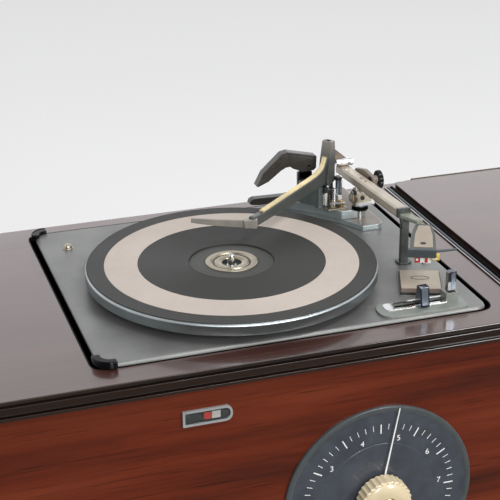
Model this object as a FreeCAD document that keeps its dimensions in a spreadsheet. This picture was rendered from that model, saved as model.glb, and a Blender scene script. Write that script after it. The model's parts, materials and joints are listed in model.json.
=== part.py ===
import FreeCAD, Part
import Sketcher
import math
import os
import re

# Radio phonograph console: a long veneered case on four turned legs, with an automatic
# record changer let into the top, a lidded record well beside it, and a radio with a
# round dial behind the front.
#
# Millimetres, +Z up.  The row's origin is the centre of the footprint, on the floor.
# Every piece is placed from the deck datum, the spindle's axis at the level of the
# cabinet's top surface: +X to the right, +Y to the back.

doc = FreeCAD.newDocument("RadioPhonographConsole")

DIMENSIONS = {
    # where the deck datum stands in the row frame
    "datum_x": -210.0, "datum_y": -14.75, "datum_z": 760.0,
    # cabinet top and case
    "top_left": -440.0, "top_right": 860.0, "top_front": -171.0, "top_back": 213.0,
    "top_gauge": 18.0, "mould_depth": 13.5, "mould_drop": 20.0,
    "case_left": -428.0, "case_right": 848.0, "case_face": -157.5, "case_back": 205.0,
    "case_floor": -560.0, "board_gauge": 18.0, "fascia_gauge": 12.0, "fascia_foot": -342.0,
    "back_gauge": 4.0,
    # legs
    "leg_height": 200.0, "leg_top_radius": 23.0, "leg_foot_radius": 12.0,
    # deck plate and its opening
    "plate_left": -169.0, "plate_right": 218.3, "plate_front": -139.9, "plate_back": 187.7,
    "plate_corner": 13.0, "plate_top": 4.0, "plate_gauge": 2.0, "plate_rim": 10.0,
    "seal_width": 6.0, "front_gap": 1.1, "ledge_gauge": 12.0,
    # platter and spindle
    "platter_radius": 147.8, "rim_inner": 145.0, "rim_low": 13.7, "platter_top": 23.5,
    "mat_radius": 146.0, "mat_top": 26.0, "mat_bore": 26.8, "dish_radius": 43.0,
    "dish_depth": 1.6, "adapter_radius": 26.6, "adapter_top": 24.9, "well_radius": 10.0,
    "bearing_radius": 4.95, "bore_radius": 5.0, "spindle_radius": 3.5, "spindle_top": 32.6,
    # idler drive
    "idler_radius": 20.0, "pulley_radius": 4.0, "drive_gap": 0.3, "drive_angle": 150.0,
    # record well and lid
    "well_left": 302.0, "well_right": 802.0, "well_front": -138.0, "well_back": 180.0,
    "well_floor": -330.0, "well_wall": 6.0,
    "lid_left": 266.0, "lid_right": 842.0, "lid_front": -162.0, "lid_back": 200.0,
    "lid_gauge": 6.4, "lid_corner": 5.0, "hinge_y": 204.0, "hinge_z": 3.6,
    # radio front
    "dial_x": 99.0, "dial_z": -176.0, "dial_radius": 99.0, "small_knob_radius": 17.0,
    # loudspeakers
    "speaker_z": -444.0, "speaker_radius": 88.0, "speaker_left": -160.0,
    "speaker_right": 580.0,
    # overarm
    "post_x": 151.2, "post_y": 126.0, "shaft_radius": 4.0, "arm_gauge": 6.0,
    # tonearm
    "arm_x": 181.0, "pivot_y": 100.0, "axle_y": 90.0, "axle_z": 45.0,
    "tube_width": 14.0, "tube_height": 9.0, "tube_length": 172.0, "tube_rise": 3.3,
    "tube_tail": 155.0, "tube_tail_z": 50.0,
}


def dimension_sheet():
    """The driving dimensions, one row each, with the name as the cell's alias."""
    sheet = doc.addObject("Spreadsheet::Sheet", "Dims")
    for row, (name, value) in enumerate(DIMENSIONS.items(), start=1):
        sheet.set(f"A{row}", name)
        sheet.set(f"B{row}", str(value))
        sheet.setAlias(f"B{row}", name)
    doc.recompute()


def formula(text):
    """An expression in which each dimension's name points at its cell."""
    return re.sub(r"[a-z_]+", lambda word: "Dims." + word.group(0)
                  if word.group(0) in DIMENSIONS else word.group(0), str(text))


def bind(thing, prop, text):
    thing.setExpression(prop, formula(text))


def place(thing, at, turn=None):
    """Stand a piece at a point given from the deck datum."""
    if turn:
        thing.Placement = FreeCAD.Placement(FreeCAD.Vector(), turn)
    for letter, text in zip("xyz", at):
        bind(thing, "Placement.Base." + letter, f"datum_{letter} + ({text})")


X_AXIS = FreeCAD.Vector(1, 0, 0)
Y_AXIS = FreeCAD.Vector(0, 1, 0)
Z_AXIS = FreeCAD.Vector(0, 0, 1)
STARTING_RADIUS = 50.0
# A cylinder stands along +Z as it is made; these lay it along another axis.
ALONG = {"z": None, "x": FreeCAD.Rotation(Y_AXIS, 90), "y": FreeCAD.Rotation(X_AXIS, -90),
         "-y": FreeCAD.Rotation(X_AXIS, 90)}


def box(name, x_span, y_span, z_span):
    """A block from its low and high limits on each axis."""
    block = doc.addObject("Part::Box", name)
    for prop, (low, high) in zip(("Length", "Width", "Height"), (x_span, y_span, z_span)):
        bind(block, prop, f"({high}) - ({low})")
    place(block, (x_span[0], y_span[0], z_span[0]))
    return block


def rod(name, radius, length, at, along="z"):
    cylinder = doc.addObject("Part::Cylinder", name)
    bind(cylinder, "Radius", radius)
    bind(cylinder, "Height", length)
    place(cylinder, at, ALONG[along])
    return cylinder


def taper(name, low_radius, high_radius, length, at, along="z"):
    cone = doc.addObject("Part::Cone", name)
    bind(cone, "Radius1", low_radius)
    bind(cone, "Radius2", high_radius)
    bind(cone, "Height", length)
    place(cone, at, ALONG[along])
    return cone


def fuse(name, pieces):
    union = doc.addObject("Part::MultiFuse", name)
    union.Shapes = pieces
    union.Refine = True
    return union


def cut(name, base, tools):
    result = doc.addObject("Part::Cut", name)
    result.Base = base
    result.Tool = tools[0] if len(tools) == 1 else fuse(name + "_cuts", tools)
    return result


def group(name, pieces):
    """Identical pieces that share one node."""
    compound = doc.addObject("Part::Compound", name)
    compound.Links = pieces
    return compound


def origin_plane(body, role):
    return next(item for item in body.Origin.OriginFeatures if item.Role == role)


def outline_sketch(body, role, points):
    """A closed outline whose every corner is dimensioned from the sketch's origin.

    The corners start on a circle, and their dimensions then set them in place.
    """
    sketch = body.newObject("Sketcher::SketchObject", body.Name + "_outline")
    sketch.AttachmentSupport = (origin_plane(body, role), "")
    sketch.MapMode = "FlatFace"
    count = len(points)
    corners = [FreeCAD.Vector(math.cos(turn), math.sin(turn), 0) * STARTING_RADIUS
               for turn in (2 * math.pi * (index + 0.3) / count for index in range(count))]
    for index in range(count):
        edge = Part.LineSegment(corners[index], corners[(index + 1) % count])
        sketch.addGeometry(edge, False)
    for index in range(count):
        following = (index + 1) % count
        sketch.addConstraint(Sketcher.Constraint("Coincident", index, 2, following, 1))
    for index, (first, second) in enumerate(points):
        for kind, text, value in (("DistanceX", first, corners[index].x),
                                  ("DistanceY", second, corners[index].y)):
            number = sketch.addConstraint(
                Sketcher.Constraint(kind, -1, 1, index, 1, value))
            sketch.setExpression(f"Constraints[{number}]", formula(text))
    return sketch


def turned(name, profile, at, along="z"):
    """A turned piece from its (radius, height) profile."""
    body = doc.addObject("PartDesign::Body", name)
    sketch = outline_sketch(body, "XZ_Plane", profile)
    turning = body.newObject("PartDesign::Revolution", name + "_turning")
    turning.Profile = sketch
    turning.ReferenceAxis = (sketch, ["V_Axis"])
    turning.Angle = 360
    place(body, at, ALONG[along])
    return body


def plate(name, outline, thickness, at, turn=None, role="XY_Plane"):
    """A piece cut from flat stock: its outline, and the depth it is padded to."""
    body = doc.addObject("PartDesign::Body", name)
    sketch = outline_sketch(body, role, outline)
    pad = body.newObject("PartDesign::Pad", name + "_pad")
    pad.Profile = sketch
    bind(pad, "Length", thickness)
    place(body, at, turn)
    return body


def rectangle(x_span, y_span):
    (left, right), (front, back) = x_span, y_span
    return [(left, front), (right, front), (right, back), (left, back)]


def upright_edges(shape):
    """The names of the edges that run straight up."""
    names = []
    for number, edge in enumerate(shape.Edges, start=1):
        if abs(edge.tangentAt(edge.FirstParameter).z) > 0.999 and len(edge.Vertexes) == 2:
            names.append(f"Edge{number}")
    return names


def rounded_slab(name, x_span, y_span, z_span, corner):
    """A flat slab with its four upright corners rounded."""
    low, high = z_span
    body = plate(name, rectangle(x_span, y_span), f"({high}) - ({low})", ("0", "0", low))
    doc.recompute()
    pad = body.Tip
    rounding = body.newObject("PartDesign::Fillet", name + "_corners")
    rounding.Base = (pad, upright_edges(pad.Shape))
    bind(rounding, "Radius", corner)
    return body


# ---------------------------------------------------------------- cabinet

def cabinet_top():
    slab = box("top_slab", ("top_left + mould_depth", "top_right - mould_depth"),
               ("case_face", "top_back"), ("-top_gauge", "0"))
    ledge = box("deck_ledge", ("plate_left - seal_width - 14", "plate_right + seal_width + 14"),
                ("case_face + fascia_gauge", "plate_back + seal_width + 6"),
                ("-top_gauge - ledge_gauge", "-top_gauge"))
    deck_opening = rounded_slab(
        "deck_opening", ("plate_left - seal_width", "plate_right + seal_width"),
        ("plate_front - front_gap", "plate_back + seal_width"), ("-top_gauge", "1"),
        "plate_corner + 3")
    ledge_opening = box("ledge_opening", ("plate_left + 22", "plate_right - 22"),
                        ("plate_front + 22", "plate_back - 22"),
                        ("-top_gauge - ledge_gauge - 1", "1"))
    well_opening = box("well_opening", ("well_left", "well_right"),
                       ("well_front", "well_back"), ("-top_gauge - 1", "1"))
    board = fuse("top_board", [slab, ledge])
    cut("top_panel", board, [deck_opening, ledge_opening, well_opening])


def reeded_section():
    """The moulding's outside: a nose and two beads, parted by deep quirks."""
    reeds = [(10.5, 0.0), (12.4, -0.5), (13.4, -1.8), (13.5, -2.6), (13.2, -3.6), (8.4, -3.9),
             (8.0, -6.3), (12.7, -6.3), (13.4, -7.0), (13.5, -10.0), (13.5, -13.4),
             (13.1, -14.0), (7.9, -14.3), (7.6, -16.8), (12.2, -16.8), (12.9, -17.4),
             (13.0, -19.4), (12.4, -20.0)]
    return [(f"-{depth}", f"{height}") for depth, height in reeds]


def top_moulding():
    section = reeded_section() + [("0", "-mould_drop"), ("0", "0")]
    front = plate("front_reeds", section, "top_right - top_left",
                  ("top_left", "case_face", "0"), role="YZ_Plane")
    ends = []
    for side, at, angle in (("left", ("top_left + mould_depth", "top_back", "0"), -90),
                            ("right", ("top_right - mould_depth", "case_face", "0"), 90)):
        ends.append(plate(f"{side}_reeds", section, "top_back - case_face", at,
                          turn=FreeCAD.Rotation(Z_AXIS, angle), role="YZ_Plane"))
    fuse("top_moulding", [front] + ends)


def case_boards():
    sides = [box(f"{side}_panel", (low, high), ("case_face", "case_back"),
                 ("case_floor + board_gauge", "-mould_drop"))
             for side, low, high in (("left", "case_left", "case_left + board_gauge"),
                                     ("right", "case_right - board_gauge", "case_right"))]
    group("side_panels", sides)
    box("bottom_board", ("case_left", "case_right"), ("case_face", "case_back"),
        ("case_floor", "case_floor + board_gauge"))


INSIDE_X = ("case_left + board_gauge", "case_right - board_gauge")
SMALL_KNOBS = {"volume": -185.0, "band": -75.0}


def fascia():
    board = box("fascia_board", INSIDE_X, ("case_face", "case_face + fascia_gauge"),
                ("fascia_foot", "-mould_drop"))
    holes = [rod("dial_hole", "6", "fascia_gauge + 2", ("dial_x", "case_face - 1", "dial_z"),
                 along="y"),
             box("indicator_hole", ("-94", "-56"), ("case_face - 1", "case_face + 13"),
                 ("-59", "-49"))]
    for name, across in SMALL_KNOBS.items():
        holes.append(rod(f"{name}_hole", "5", "fascia_gauge + 2",
                         (across, "case_face - 1", "dial_z"), along="y"))
    cut("fascia_panel", board, holes)
    lens = box("lens_plate", ("-98.6", "-58.7"), ("case_face - 2.6", "case_face"),
               ("-62", "-46"))
    lens_end = rod("lens_end", "8", "2.6", ("-58.7", "case_face - 2.6", "-54"), along="y")
    fuse("indicator_window", [lens, lens_end])


def grille():
    border = box("grille_border", INSIDE_X, ("case_face", "case_face + 14"),
                 ("case_floor + board_gauge", "fascia_foot"))
    inside = box("grille_inside", ("case_left + 44", "case_right - 44"),
                 ("case_face - 1", "case_face + 15"),
                 ("case_floor + 44", "fascia_foot - 24"))
    cut("grille_frame", border, [inside])
    box("grille_cloth", ("case_left + 44", "case_right - 44"),
        ("case_face + 11.5", "case_face + 14"), ("case_floor + 44", "fascia_foot - 24"))
    baffle = box("baffle_board", INSIDE_X, ("case_face + 14", "case_face + 26"),
                 ("case_floor + board_gauge", "fascia_foot"))
    cut("speaker_baffle", baffle,
        [rod(f"{side}_sound_hole", "speaker_radius - 10", "14",
             (f"speaker_{side}", "case_face + 13", "speaker_z"), along="y")
         for side in ("left", "right")])


def loudspeakers():
    """Two pressed baskets with their magnets, and the paper cones inside them."""
    basket = [("speaker_radius", "0"), ("speaker_radius", "2"), ("speaker_radius - 9", "2"),
              ("38", "36"), ("38", "62"), ("0", "62"), ("0", "38"), ("34", "38"),
              ("34", "34.6"), ("speaker_radius - 12", "0")]
    cone = [("speaker_radius - 14", "0.2"), ("16", "26"), ("0", "24"), ("0", "25.2"),
            ("16", "27.2"), ("speaker_radius - 14", "1.2")]
    drivers = []
    for side in ("left", "right"):
        at = (f"speaker_{side}", "case_face + 26", "speaker_z")
        drivers.append(turned(f"{side}_basket", basket, at, along="y"))
        drivers.append(turned(f"{side}_cone", cone, at, along="y"))
    group("loudspeakers", drivers)


def back():
    board = box("back_board", INSIDE_X, ("case_back - back_gauge", "case_back"),
                ("case_floor + board_gauge", "-top_gauge"))
    slots = []
    for row in range(2):
        for number in range(9):
            across = -350 + 60 * number
            down = -140 - 40 * row
            slots.append(box(f"vent_{row}_{number}", (across, across + 36),
                             ("case_back - 5", "case_back + 1"), (down, down + 8)))
    slots.append(box("inlet_hole", ("-16", "16"), ("case_back - 5", "case_back + 1"),
                     ("-500", "-472")))
    cut("back_panel", board, slots)
    screws = []
    for across in (-400, -200, 0, 200, 420, 620, 820):
        for down in (-32, -532):
            screws.append(rod(f"screw_{across + 500}_{-down}", "4", "2.2",
                              (across, "case_back", down), along="y"))
    group("back_panel_screws", screws)
    shell = box("inlet_shell", ("-15.7", "15.7"), ("case_back - 16", "case_back + 1.5"),
                ("-499.7", "-472.3"))
    socket = box("inlet_socket", ("-11", "11"), ("case_back - 12", "case_back + 2"),
                 ("-495", "-477"))
    cut("mains_inlet", shell, [socket])


def legs():
    places = [(across, deep) for across in ("case_left + 48", "case_right - 48")
              for deep in ("case_face + 46", "case_back - 46")]
    group("legs", [taper(f"leg_{number}", "leg_foot_radius", "leg_top_radius", "leg_height",
                         (across, deep, "case_floor - leg_height"))
                   for number, (across, deep) in enumerate(places)])


# ---------------------------------------------------------------- record well and lid

def record_well():
    outside = box("well_outside", ("well_left - well_wall", "well_right + well_wall"),
                  ("well_front - well_wall", "well_back + well_wall"),
                  ("well_floor - well_wall", "-top_gauge"))
    inside = box("well_inside", ("well_left", "well_right"), ("well_front", "well_back"),
                 ("well_floor", "1"))
    cut("record_well", outside, [inside])


def lid():
    rounded_slab("record_lid", ("lid_left", "lid_right"), ("lid_front", "lid_back"),
                 ("0.4", "lid_gauge"), "lid_corner")
    box("lid_trim_strip", ("lid_left - 12", "lid_left - 1.5"), ("lid_front + 6", "lid_back"),
        ("0", "2.2"))
    leaf = box("fixed_leaf", ("lid_left + 20", "lid_right - 20"),
               ("hinge_y + 3.6", "hinge_y + 9"), ("0", "1.4"))
    knuckles = []
    lid_knuckles = []
    length = 522.0
    count = 9
    pitch = length / count
    for number in range(count):
        low = f"lid_left + 25 + {number * pitch}"
        tube = rod(f"knuckle_{number}", "3", pitch - 0.6,
                   (low, "hinge_y", "hinge_z"), along="x")
        (lid_knuckles if number % 2 else knuckles).append(tube)
    web = box("fixed_web", ("lid_left + 20", "lid_right - 20"),
              ("hinge_y + 3.6", "hinge_y + 5"), ("0", "hinge_z - 1"))
    arms = [box(f"fixed_arm_{number}", (f"lid_left + 25 + {2 * number * pitch}",
                                        f"lid_left + 25 + {(2 * number + 1) * pitch - 0.6}"),
                ("hinge_y", "hinge_y + 5"), ("hinge_z - 2.6", "hinge_z - 1"))
            for number in range(5)]
    bore = rod("fixed_bore", "1.55", "560",
               ("lid_left + 10", "hinge_y", "hinge_z"), along="x")
    cut("lid_hinge_fixed", fuse("fixed_parts", [leaf, web] + knuckles + arms), [bore])
    pin = rod("hinge_pin", "1.5", length, ("lid_left + 25", "hinge_y", "hinge_z"), along="x")
    straps = [box(f"lid_arm_{number}", (f"lid_left + 25 + {(2 * number + 1) * pitch}",
                                        f"lid_left + 25 + {(2 * number + 2) * pitch - 0.6}"),
                  ("lid_back", "hinge_y"), ("hinge_z - 0.8", "hinge_z + 0.8"))
              for number in range(4)]
    fuse("lid_hinge_moving", [pin] + lid_knuckles + straps)


# ---------------------------------------------------------------- radio

def dial():
    turned("dial_plate", [("7", "0"), ("dial_radius", "0"), ("dial_radius", "3.2"),
                          ("dial_radius - 1", "4"), ("dial_radius - 4", "4"),
                          ("dial_radius - 5", "3.2"), ("7", "3.2")],
           ("dial_x", "case_face", "dial_z"), along="-y")
    knob = turned("tuning_head", [("0", "6.5"), ("26", "6.5"), ("27", "8"), ("25", "24"),
                                  ("23", "26"), ("0", "26")],
                  ("dial_x", "case_face", "dial_z"), along="-y")
    shaft = rod("tuning_shaft", "3", "80", ("dial_x", "case_face - 8", "dial_z"), along="y")
    fuse("tuning_knob", [knob, shaft])
    hub = rod("pointer_hub", "10", "1.4", ("dial_x", "case_face - 6.2", "dial_z"), along="y")
    hub_hole = rod("pointer_bore", "3", "2", ("dial_x", "case_face - 6.4", "dial_z"),
                   along="y")
    needle = plate("pointer_needle", [("-1", "8"), ("1", "8"), ("0.9", "dial_radius - 3"),
                                      ("-0.9", "dial_radius - 3")], "1",
                   ("dial_x", "case_face - 5", "dial_z"),
                   turn=FreeCAD.Rotation(Y_AXIS, 10.5),
                   role="XZ_Plane")
    cut("dial_pointer", fuse("pointer_blank", [hub, needle]), [hub_hole])


def small_knobs():
    for name, across in SMALL_KNOBS.items():
        head = turned(f"{name}_head", [("0", "1"), ("small_knob_radius", "1"),
                                       ("small_knob_radius", "3"),
                                       ("small_knob_radius - 3", "5"),
                                       ("small_knob_radius - 4.5", "19"), ("0", "20")],
                      (across, "case_face", "dial_z"), along="-y")
        shaft = rod(f"{name}_shaft", "3", "42", (across, "case_face - 3", "dial_z"),
                    along="y")
        fuse(f"{name}_knob", [head, shaft])


def radio_chassis():
    outside = box("chassis_tray", ("-230", "250"), ("-118", "60"), ("-300", "-242"))
    inside = box("chassis_hollow", ("-228", "248"), ("-116", "58"), ("-301", "-244"))
    bracket = box("control_bracket", ("-230", "-20"), ("-118", "-116"), ("-243", "-150"))
    holes = [rod(f"{name}_bush", "3.4", "6", (across, "-120", "dial_z"), along="y")
             for name, across in SMALL_KNOBS.items()]
    cut("radio_chassis", fuse("chassis_metal", [outside, bracket]), [inside] + holes)
    core = box("transformer_core", ("150", "230"), ("-40", "30"), ("-242", "-188"))
    coil = box("transformer_coil", ("168", "212"), ("-52", "42"), ("-234", "-196"))
    fuse("power_transformer", [core, coil])
    bulb = [("0", "0"), ("11", "0"), ("11", "8"), ("10.6", "9"), ("10.6", "48"), ("7", "56"),
            ("2", "58"), ("0", "62")]
    group("radio_valves", [turned(f"valve_{number}", bulb,
                                  (-190 + 52 * number, 20, "-242")) for number in range(5)])


def tuning_capacitor():
    base = box("capacitor_base", ("dial_x - 30", "dial_x + 30"), ("-100", "-38"),
               ("-242", "-238"))
    ends = [box(f"capacitor_end_{number}", ("dial_x - 30", "dial_x + 30"),
                (deep, deep + 2), ("-240", "-140")) for number, deep in enumerate((-72, -40))]
    vanes = [box(f"stator_vane_{number}", ("dial_x - 28", "dial_x - 5"), (deep, deep + 1),
                 ("-239", "-146")) for number, deep in enumerate((-66, -60, -54, -48))]
    stay = box("stator_stay", ("dial_x - 30", "dial_x - 28"), ("-72", "-38"),
               ("-240", "-146"))
    bore = rod("capacitor_bore", "3.05", "80", ("dial_x", "-110", "dial_z"), along="y")
    cut("tuning_capacitor", fuse("capacitor_frame", [base, stay] + ends + vanes), [bore])
    shaft = rod("rotor_shaft", "3", "34", ("dial_x", "-74.5", "dial_z"), along="y")
    half = [("0", "-25")] + [(f"{25 * math.cos(angle):.3f}", f"{25 * math.sin(angle):.3f}")
                             for angle in (math.radians(step) for step in
                                           range(-75, 90, 15))] + [("0", "25")]
    rotors = [plate(f"rotor_vane_{number}", half, "1", ("dial_x", deep, "dial_z"),
                    role="XZ_Plane") for number, deep in enumerate((-62, -56, -50))]
    fuse("capacitor_rotor", [shaft] + rotors)


# ---------------------------------------------------------------- deck

def deck_plate():
    tray = rounded_slab("plate_blank", ("plate_left", "plate_right"),
                        ("plate_front", "plate_back"),
                        ("plate_top - plate_rim", "plate_top"), "plate_corner")
    hollow = rounded_slab("plate_hollow", ("plate_left + plate_gauge",
                                           "plate_right - plate_gauge"),
                          ("plate_front + plate_gauge", "plate_back - plate_gauge"),
                          ("plate_top - plate_rim - 1", "plate_top - plate_gauge"),
                          "plate_corner - plate_gauge")
    x, y = drive_point("rim_inner - 2 * idler_radius - pulley_radius - 2 * drive_gap")
    holes = [rod("motor_hole", "9", "20", (x, y, "-6")),
             rod("bearing_hole", "9.5", "20", ("0", "0", "-6")),
             rod("column_hole", "9", "20", ("arm_x", "pivot_y + 1", "-6")),
             box("lever_slot", ("127", "180"), ("-121", "-112"), ("-6", "8"))]
    cut("deck_plate", tray, [hollow] + holes)


def deck_seal():
    outer = rounded_slab("seal_outer", ("plate_left - seal_width", "plate_right + seal_width"),
                         ("plate_front - front_gap", "plate_back + seal_width"),
                         ("-4", "0.6"), "plate_corner + 3")
    inner = rounded_slab("seal_inner", ("plate_left", "plate_right"),
                         ("plate_front", "plate_back"), ("-5", "2"), "plate_corner")
    cut("deck_gasket", outer, [inner])


def corner_guard(name, x_span, y_span, inside_x, inside_y):
    """An L of moulded plastic over one corner of the plate."""
    block = rounded_slab(name + "_block", x_span, y_span, ("0.6", "8"), "2.4")
    notch = box(name + "_notch", inside_x, inside_y, ("-1", "9"))
    return cut(name, block, [notch])


def deck_trim():
    front = corner_guard("front_guard", ("plate_left - 4.5", "plate_left + 16"),
                         ("plate_front - 4.5", "plate_front + 15"),
                         ("plate_left", "plate_left + 30"), ("plate_front", "0"))
    rear = corner_guard("rear_guard", ("plate_left - 4.5", "plate_left + 14"),
                        ("plate_back - 16", "plate_back + 5"),
                        ("plate_left", "plate_left + 30"), ("0", "plate_back"))
    group("corner_guards", [front, rear])
    screws = [turned(f"dome_{number}", [("0", "0"), ("4.8", "0"), ("4.8", "1.6"),
                                        ("4", "3.4"), ("2.2", "4.6"), ("0", "5")],
                     (across, deep, "plate_top"))
              for number, (across, deep) in enumerate(((-141, 136), (206, -20), (60, 176)))]
    group("deck_screws", screws)
    springs = [rod(f"spring_{number}", "8", "top_gauge + plate_top - plate_gauge",
                   (across, deep, "-top_gauge"))
               for number, (across, deep) in enumerate(
                   (x, y) for x in ("plate_left + 11.5", "plate_right - 11.5")
                   for y in ("plate_front + 30", "plate_back - 30"))]
    group("suspension_springs", springs)


def drive_point(reach):
    """A point at a distance from the spindle along the line of the drive."""
    return (f"({reach}) * cos(drive_angle)", f"({reach}) * sin(drive_angle)")


def drive():
    idler_reach = "rim_inner - idler_radius - drive_gap"
    pulley_reach = "rim_inner - 2 * idler_radius - pulley_radius - 2 * drive_gap"
    x, y = drive_point(pulley_reach)
    can = rod("motor_can", "34", "52", (x, y, "-70"))
    collar = rod("motor_collar", "8.5", "20", (x, y, "-20"))
    bore = rod("motor_bore", "1.55", "60", (x, y, "-20"))
    cut("deck_motor", fuse("motor_body", [can, collar]), [bore])
    stem = rod("pulley_stem", "1.5", "24", (x, y, "-16"))
    steps = [rod("pulley_low", "pulley_radius", "9", (x, y, "8")),
             rod("pulley_high", "2.4", "3", (x, y, "17"))]
    fuse("motor_pulley", [stem] + steps)
    x, y = drive_point(idler_reach)
    wheel = rod("idler_tyre", "idler_radius", "5", (x, y, "10"))
    wheel_bore = rod("idler_bore", "2.05", "9", (x, y, "8"))
    cut("idler_wheel", wheel, [wheel_bore])
    swing_arm = box("idler_bracket", (f"{x} - 6", f"{x} + 6"), (f"{y} - 30", f"{y} + 6"),
                    ("plate_top", "plate_top + 2"))
    axle = rod("idler_axle", "2", "12", (x, y, "plate_top + 1"))
    fuse("idler_arm", [swing_arm, axle])


def platter():
    turned("platter", [("bore_radius", "9"), ("16", "9"), ("16", "platter_top - 3"),
                       ("rim_inner", "platter_top - 3"), ("rim_inner", "rim_low"),
                       ("platter_radius - 0.8", "rim_low"),
                       ("platter_radius", "rim_low + 0.8"),
                       ("platter_radius", "platter_top + 0.2"),
                       ("mat_radius + 0.2", "platter_top + 1.6"),
                       ("mat_radius + 0.2", "platter_top"),
                       ("well_radius", "platter_top"), ("well_radius", "platter_top - 3"),
                       ("bore_radius", "platter_top - 3")], ("0", "0", "0"))
    turned("platter_mat", [("mat_bore", "platter_top"), ("mat_radius", "platter_top"),
                           ("mat_radius", "mat_top - 0.4"), ("mat_radius - 0.6", "mat_top"),
                           ("dish_radius + 1.5", "mat_top"),
                           ("dish_radius", "mat_top - dish_depth"),
                           ("mat_bore", "mat_top - dish_depth")], ("0", "0", "0"))
    turned("centre_adapter", [("well_radius", "platter_top"),
                              ("adapter_radius", "platter_top"),
                              ("adapter_radius", "adapter_top - 0.5"),
                              ("adapter_radius - 0.5", "adapter_top"), ("20", "adapter_top"),
                              ("19", "adapter_top - 0.9"), ("17.5", "adapter_top - 0.9"),
                              ("16.5", "adapter_top - 0.2"),
                              ("well_radius", "adapter_top - 0.2")], ("0", "0", "0"))
    turned("turntable_spindle", [("0", "-24"), ("9", "-24"), ("9", "4"), ("18", "4"),
                                 ("18", "6"), ("8", "8.6"), ("bearing_radius", "8.6"),
                                 ("bearing_radius", "platter_top - 2.4"),
                                 ("spindle_radius", "platter_top - 2.4"),
                                 ("spindle_radius", "spindle_top - 2"),
                                 ("spindle_radius - 1.5", "spindle_top"),
                                 ("0", "spindle_top + 0.4")], ("0", "0", "0"))


# ---------------------------------------------------------------- changer mechanism

OVERARM_HEADING = 219.3
HEAD_OFFSET = -24.0
HEAD_DROOP = 10.5
PANEL_HEADING = -21.5


def tonearm_base():
    """A stepped casting that curves round the platter, with the column on it."""
    low = box("base_low", ("100", "200"), ("75", "178"), ("plate_top", "10.5"))
    low_round = rod("base_low_round", "190", "8", ("0", "0", "3.5"))
    middle = box("base_middle", ("104", "190"), ("99", "172"), ("10.5", "21"))
    middle_round = rod("base_middle_round", "187", "12", ("0", "0", "10"))
    wall = box("column_wall", ("125", "142"), ("116", "146"), ("21", "46"))
    wall_round = rod("column_round", "185", "30", ("0", "0", "20"))
    recess = box("column_recess", ("135", "143"), ("134", "147"), ("24", "47"))
    boss = rod("overarm_boss", "8", "20", ("post_x", "post_y", "21"))
    stub = rod("pivot_stub", "8", "8", ("arm_x", "pivot_y", "21"))
    casting = fuse("base_casting", [cut("low_step", low, [low_round]),
                                    cut("middle_step", middle, [middle_round]),
                                    cut("column", wall, [wall_round, recess]), boss, stub])
    bores = [rod("overarm_bore", "shaft_radius + 0.05", "40", ("post_x", "post_y", "6")),
             rod("pivot_bore", "3.05", "40", ("arm_x", "pivot_y", "3"))]
    cut("tonearm_base", casting, bores)
    block = box("clamp_block", ("125", "142"), ("147", "152"), ("21", "54"))
    ear = box("clamp_ear", ("127", "140"), ("147", "151"), ("47", "72"))
    pin = rod("clamp_pin", "2", "14.5", ("133", "134", "65"), along="y")
    feeler_pin = rod("feeler_pin", "2", "11", ("112", "150", "21"))
    clamp = fuse("clamp_parts", [block, ear, pin])
    trip = fuse("trip_parts", [box("trip_plate", ("144", "168"), ("104", "112"),
                                   ("21", "23")),
                               rod("trip_post", "3", "14", ("162", "109", "21")),
                               box("trip_pawl", ("146", "165"), ("107", "110"),
                                   ("27", "29")),
                               rod("trip_pin", "1.6", "17", ("147", "108", "21"))])
    group("changer_brackets", [clamp, feeler_pin, trip])


def overarm():
    """The arm that reaches over the records, with its inlaid strip and its foot."""
    rod("overarm_shaft", "shaft_radius", "55", ("post_x", "post_y", "24"))
    turn = FreeCAD.Rotation(Z_AXIS, OVERARM_HEADING)
    sideways = (math.sin(math.radians(OVERARM_HEADING)),
                -math.cos(math.radians(OVERARM_HEADING)))

    def upright(name, outline, thickness):
        """A piece padded either side of the arm's own upright plane."""
        at = (f"post_x - {sideways[0]:.5f} * ({thickness}) / 2",
              f"post_y - {sideways[1]:.5f} * ({thickness}) / 2", "0")
        return plate(name, outline, thickness, at, turn=turn, role="XZ_Plane")

    hub = upright("overarm_hub", [("-7.5", "47"), ("7.5", "47"), ("6.5", "66"), ("2.8", "82"),
                                  ("-0.4", "95"), ("-6.8", "95"), ("-7.5", "85")], "13")
    beam = upright("overarm_beam", [("0", "47"), ("150", "46.8"), ("157", "48"),
                                    ("157", "59"), ("136", "57.2"), ("79", "59.6"),
                                    ("37", "61.4"), ("24", "62.2"), ("15.5", "64.4"),
                                    ("10", "68"), ("6", "74"), ("3.5", "80"), ("0", "82")],
                   "arm_gauge")
    blade = plate("overarm_blade", [("-2", "46.8"), ("20", "46.8"), ("63", "50.4"),
                                    ("63", "55.2"), ("20", "55.2"), ("-2", "55.6")], "3",
                  (f"post_x + {156 * math.cos(math.radians(OVERARM_HEADING)):.3f}",
                   f"post_y + {156 * math.sin(math.radians(OVERARM_HEADING)):.3f}", "0"),
                  turn=FreeCAD.Rotation(Z_AXIS, 157), role="XZ_Plane")
    bore = rod("hub_bore", "shaft_radius + 0.05", "34", ("post_x", "post_y", "46"))
    cut("overarm", fuse("overarm_metal", [hub, beam, blade]), [bore])
    upright("overarm_strip", [("136", "57.2"), ("79", "59.6"), ("37", "61.4"),
                              ("24", "62.2"), ("15.5", "64.4"), ("10", "68"), ("6", "74"),
                              ("4.3", "78"), ("6.6", "78.8"), ("8", "75.4"),
                              ("11.8", "70"), ("16.8", "66.8"), ("24.6", "64.8"),
                              ("37.2", "64"), ("79.2", "62.2"), ("136.2", "59.8")], "5")


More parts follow.
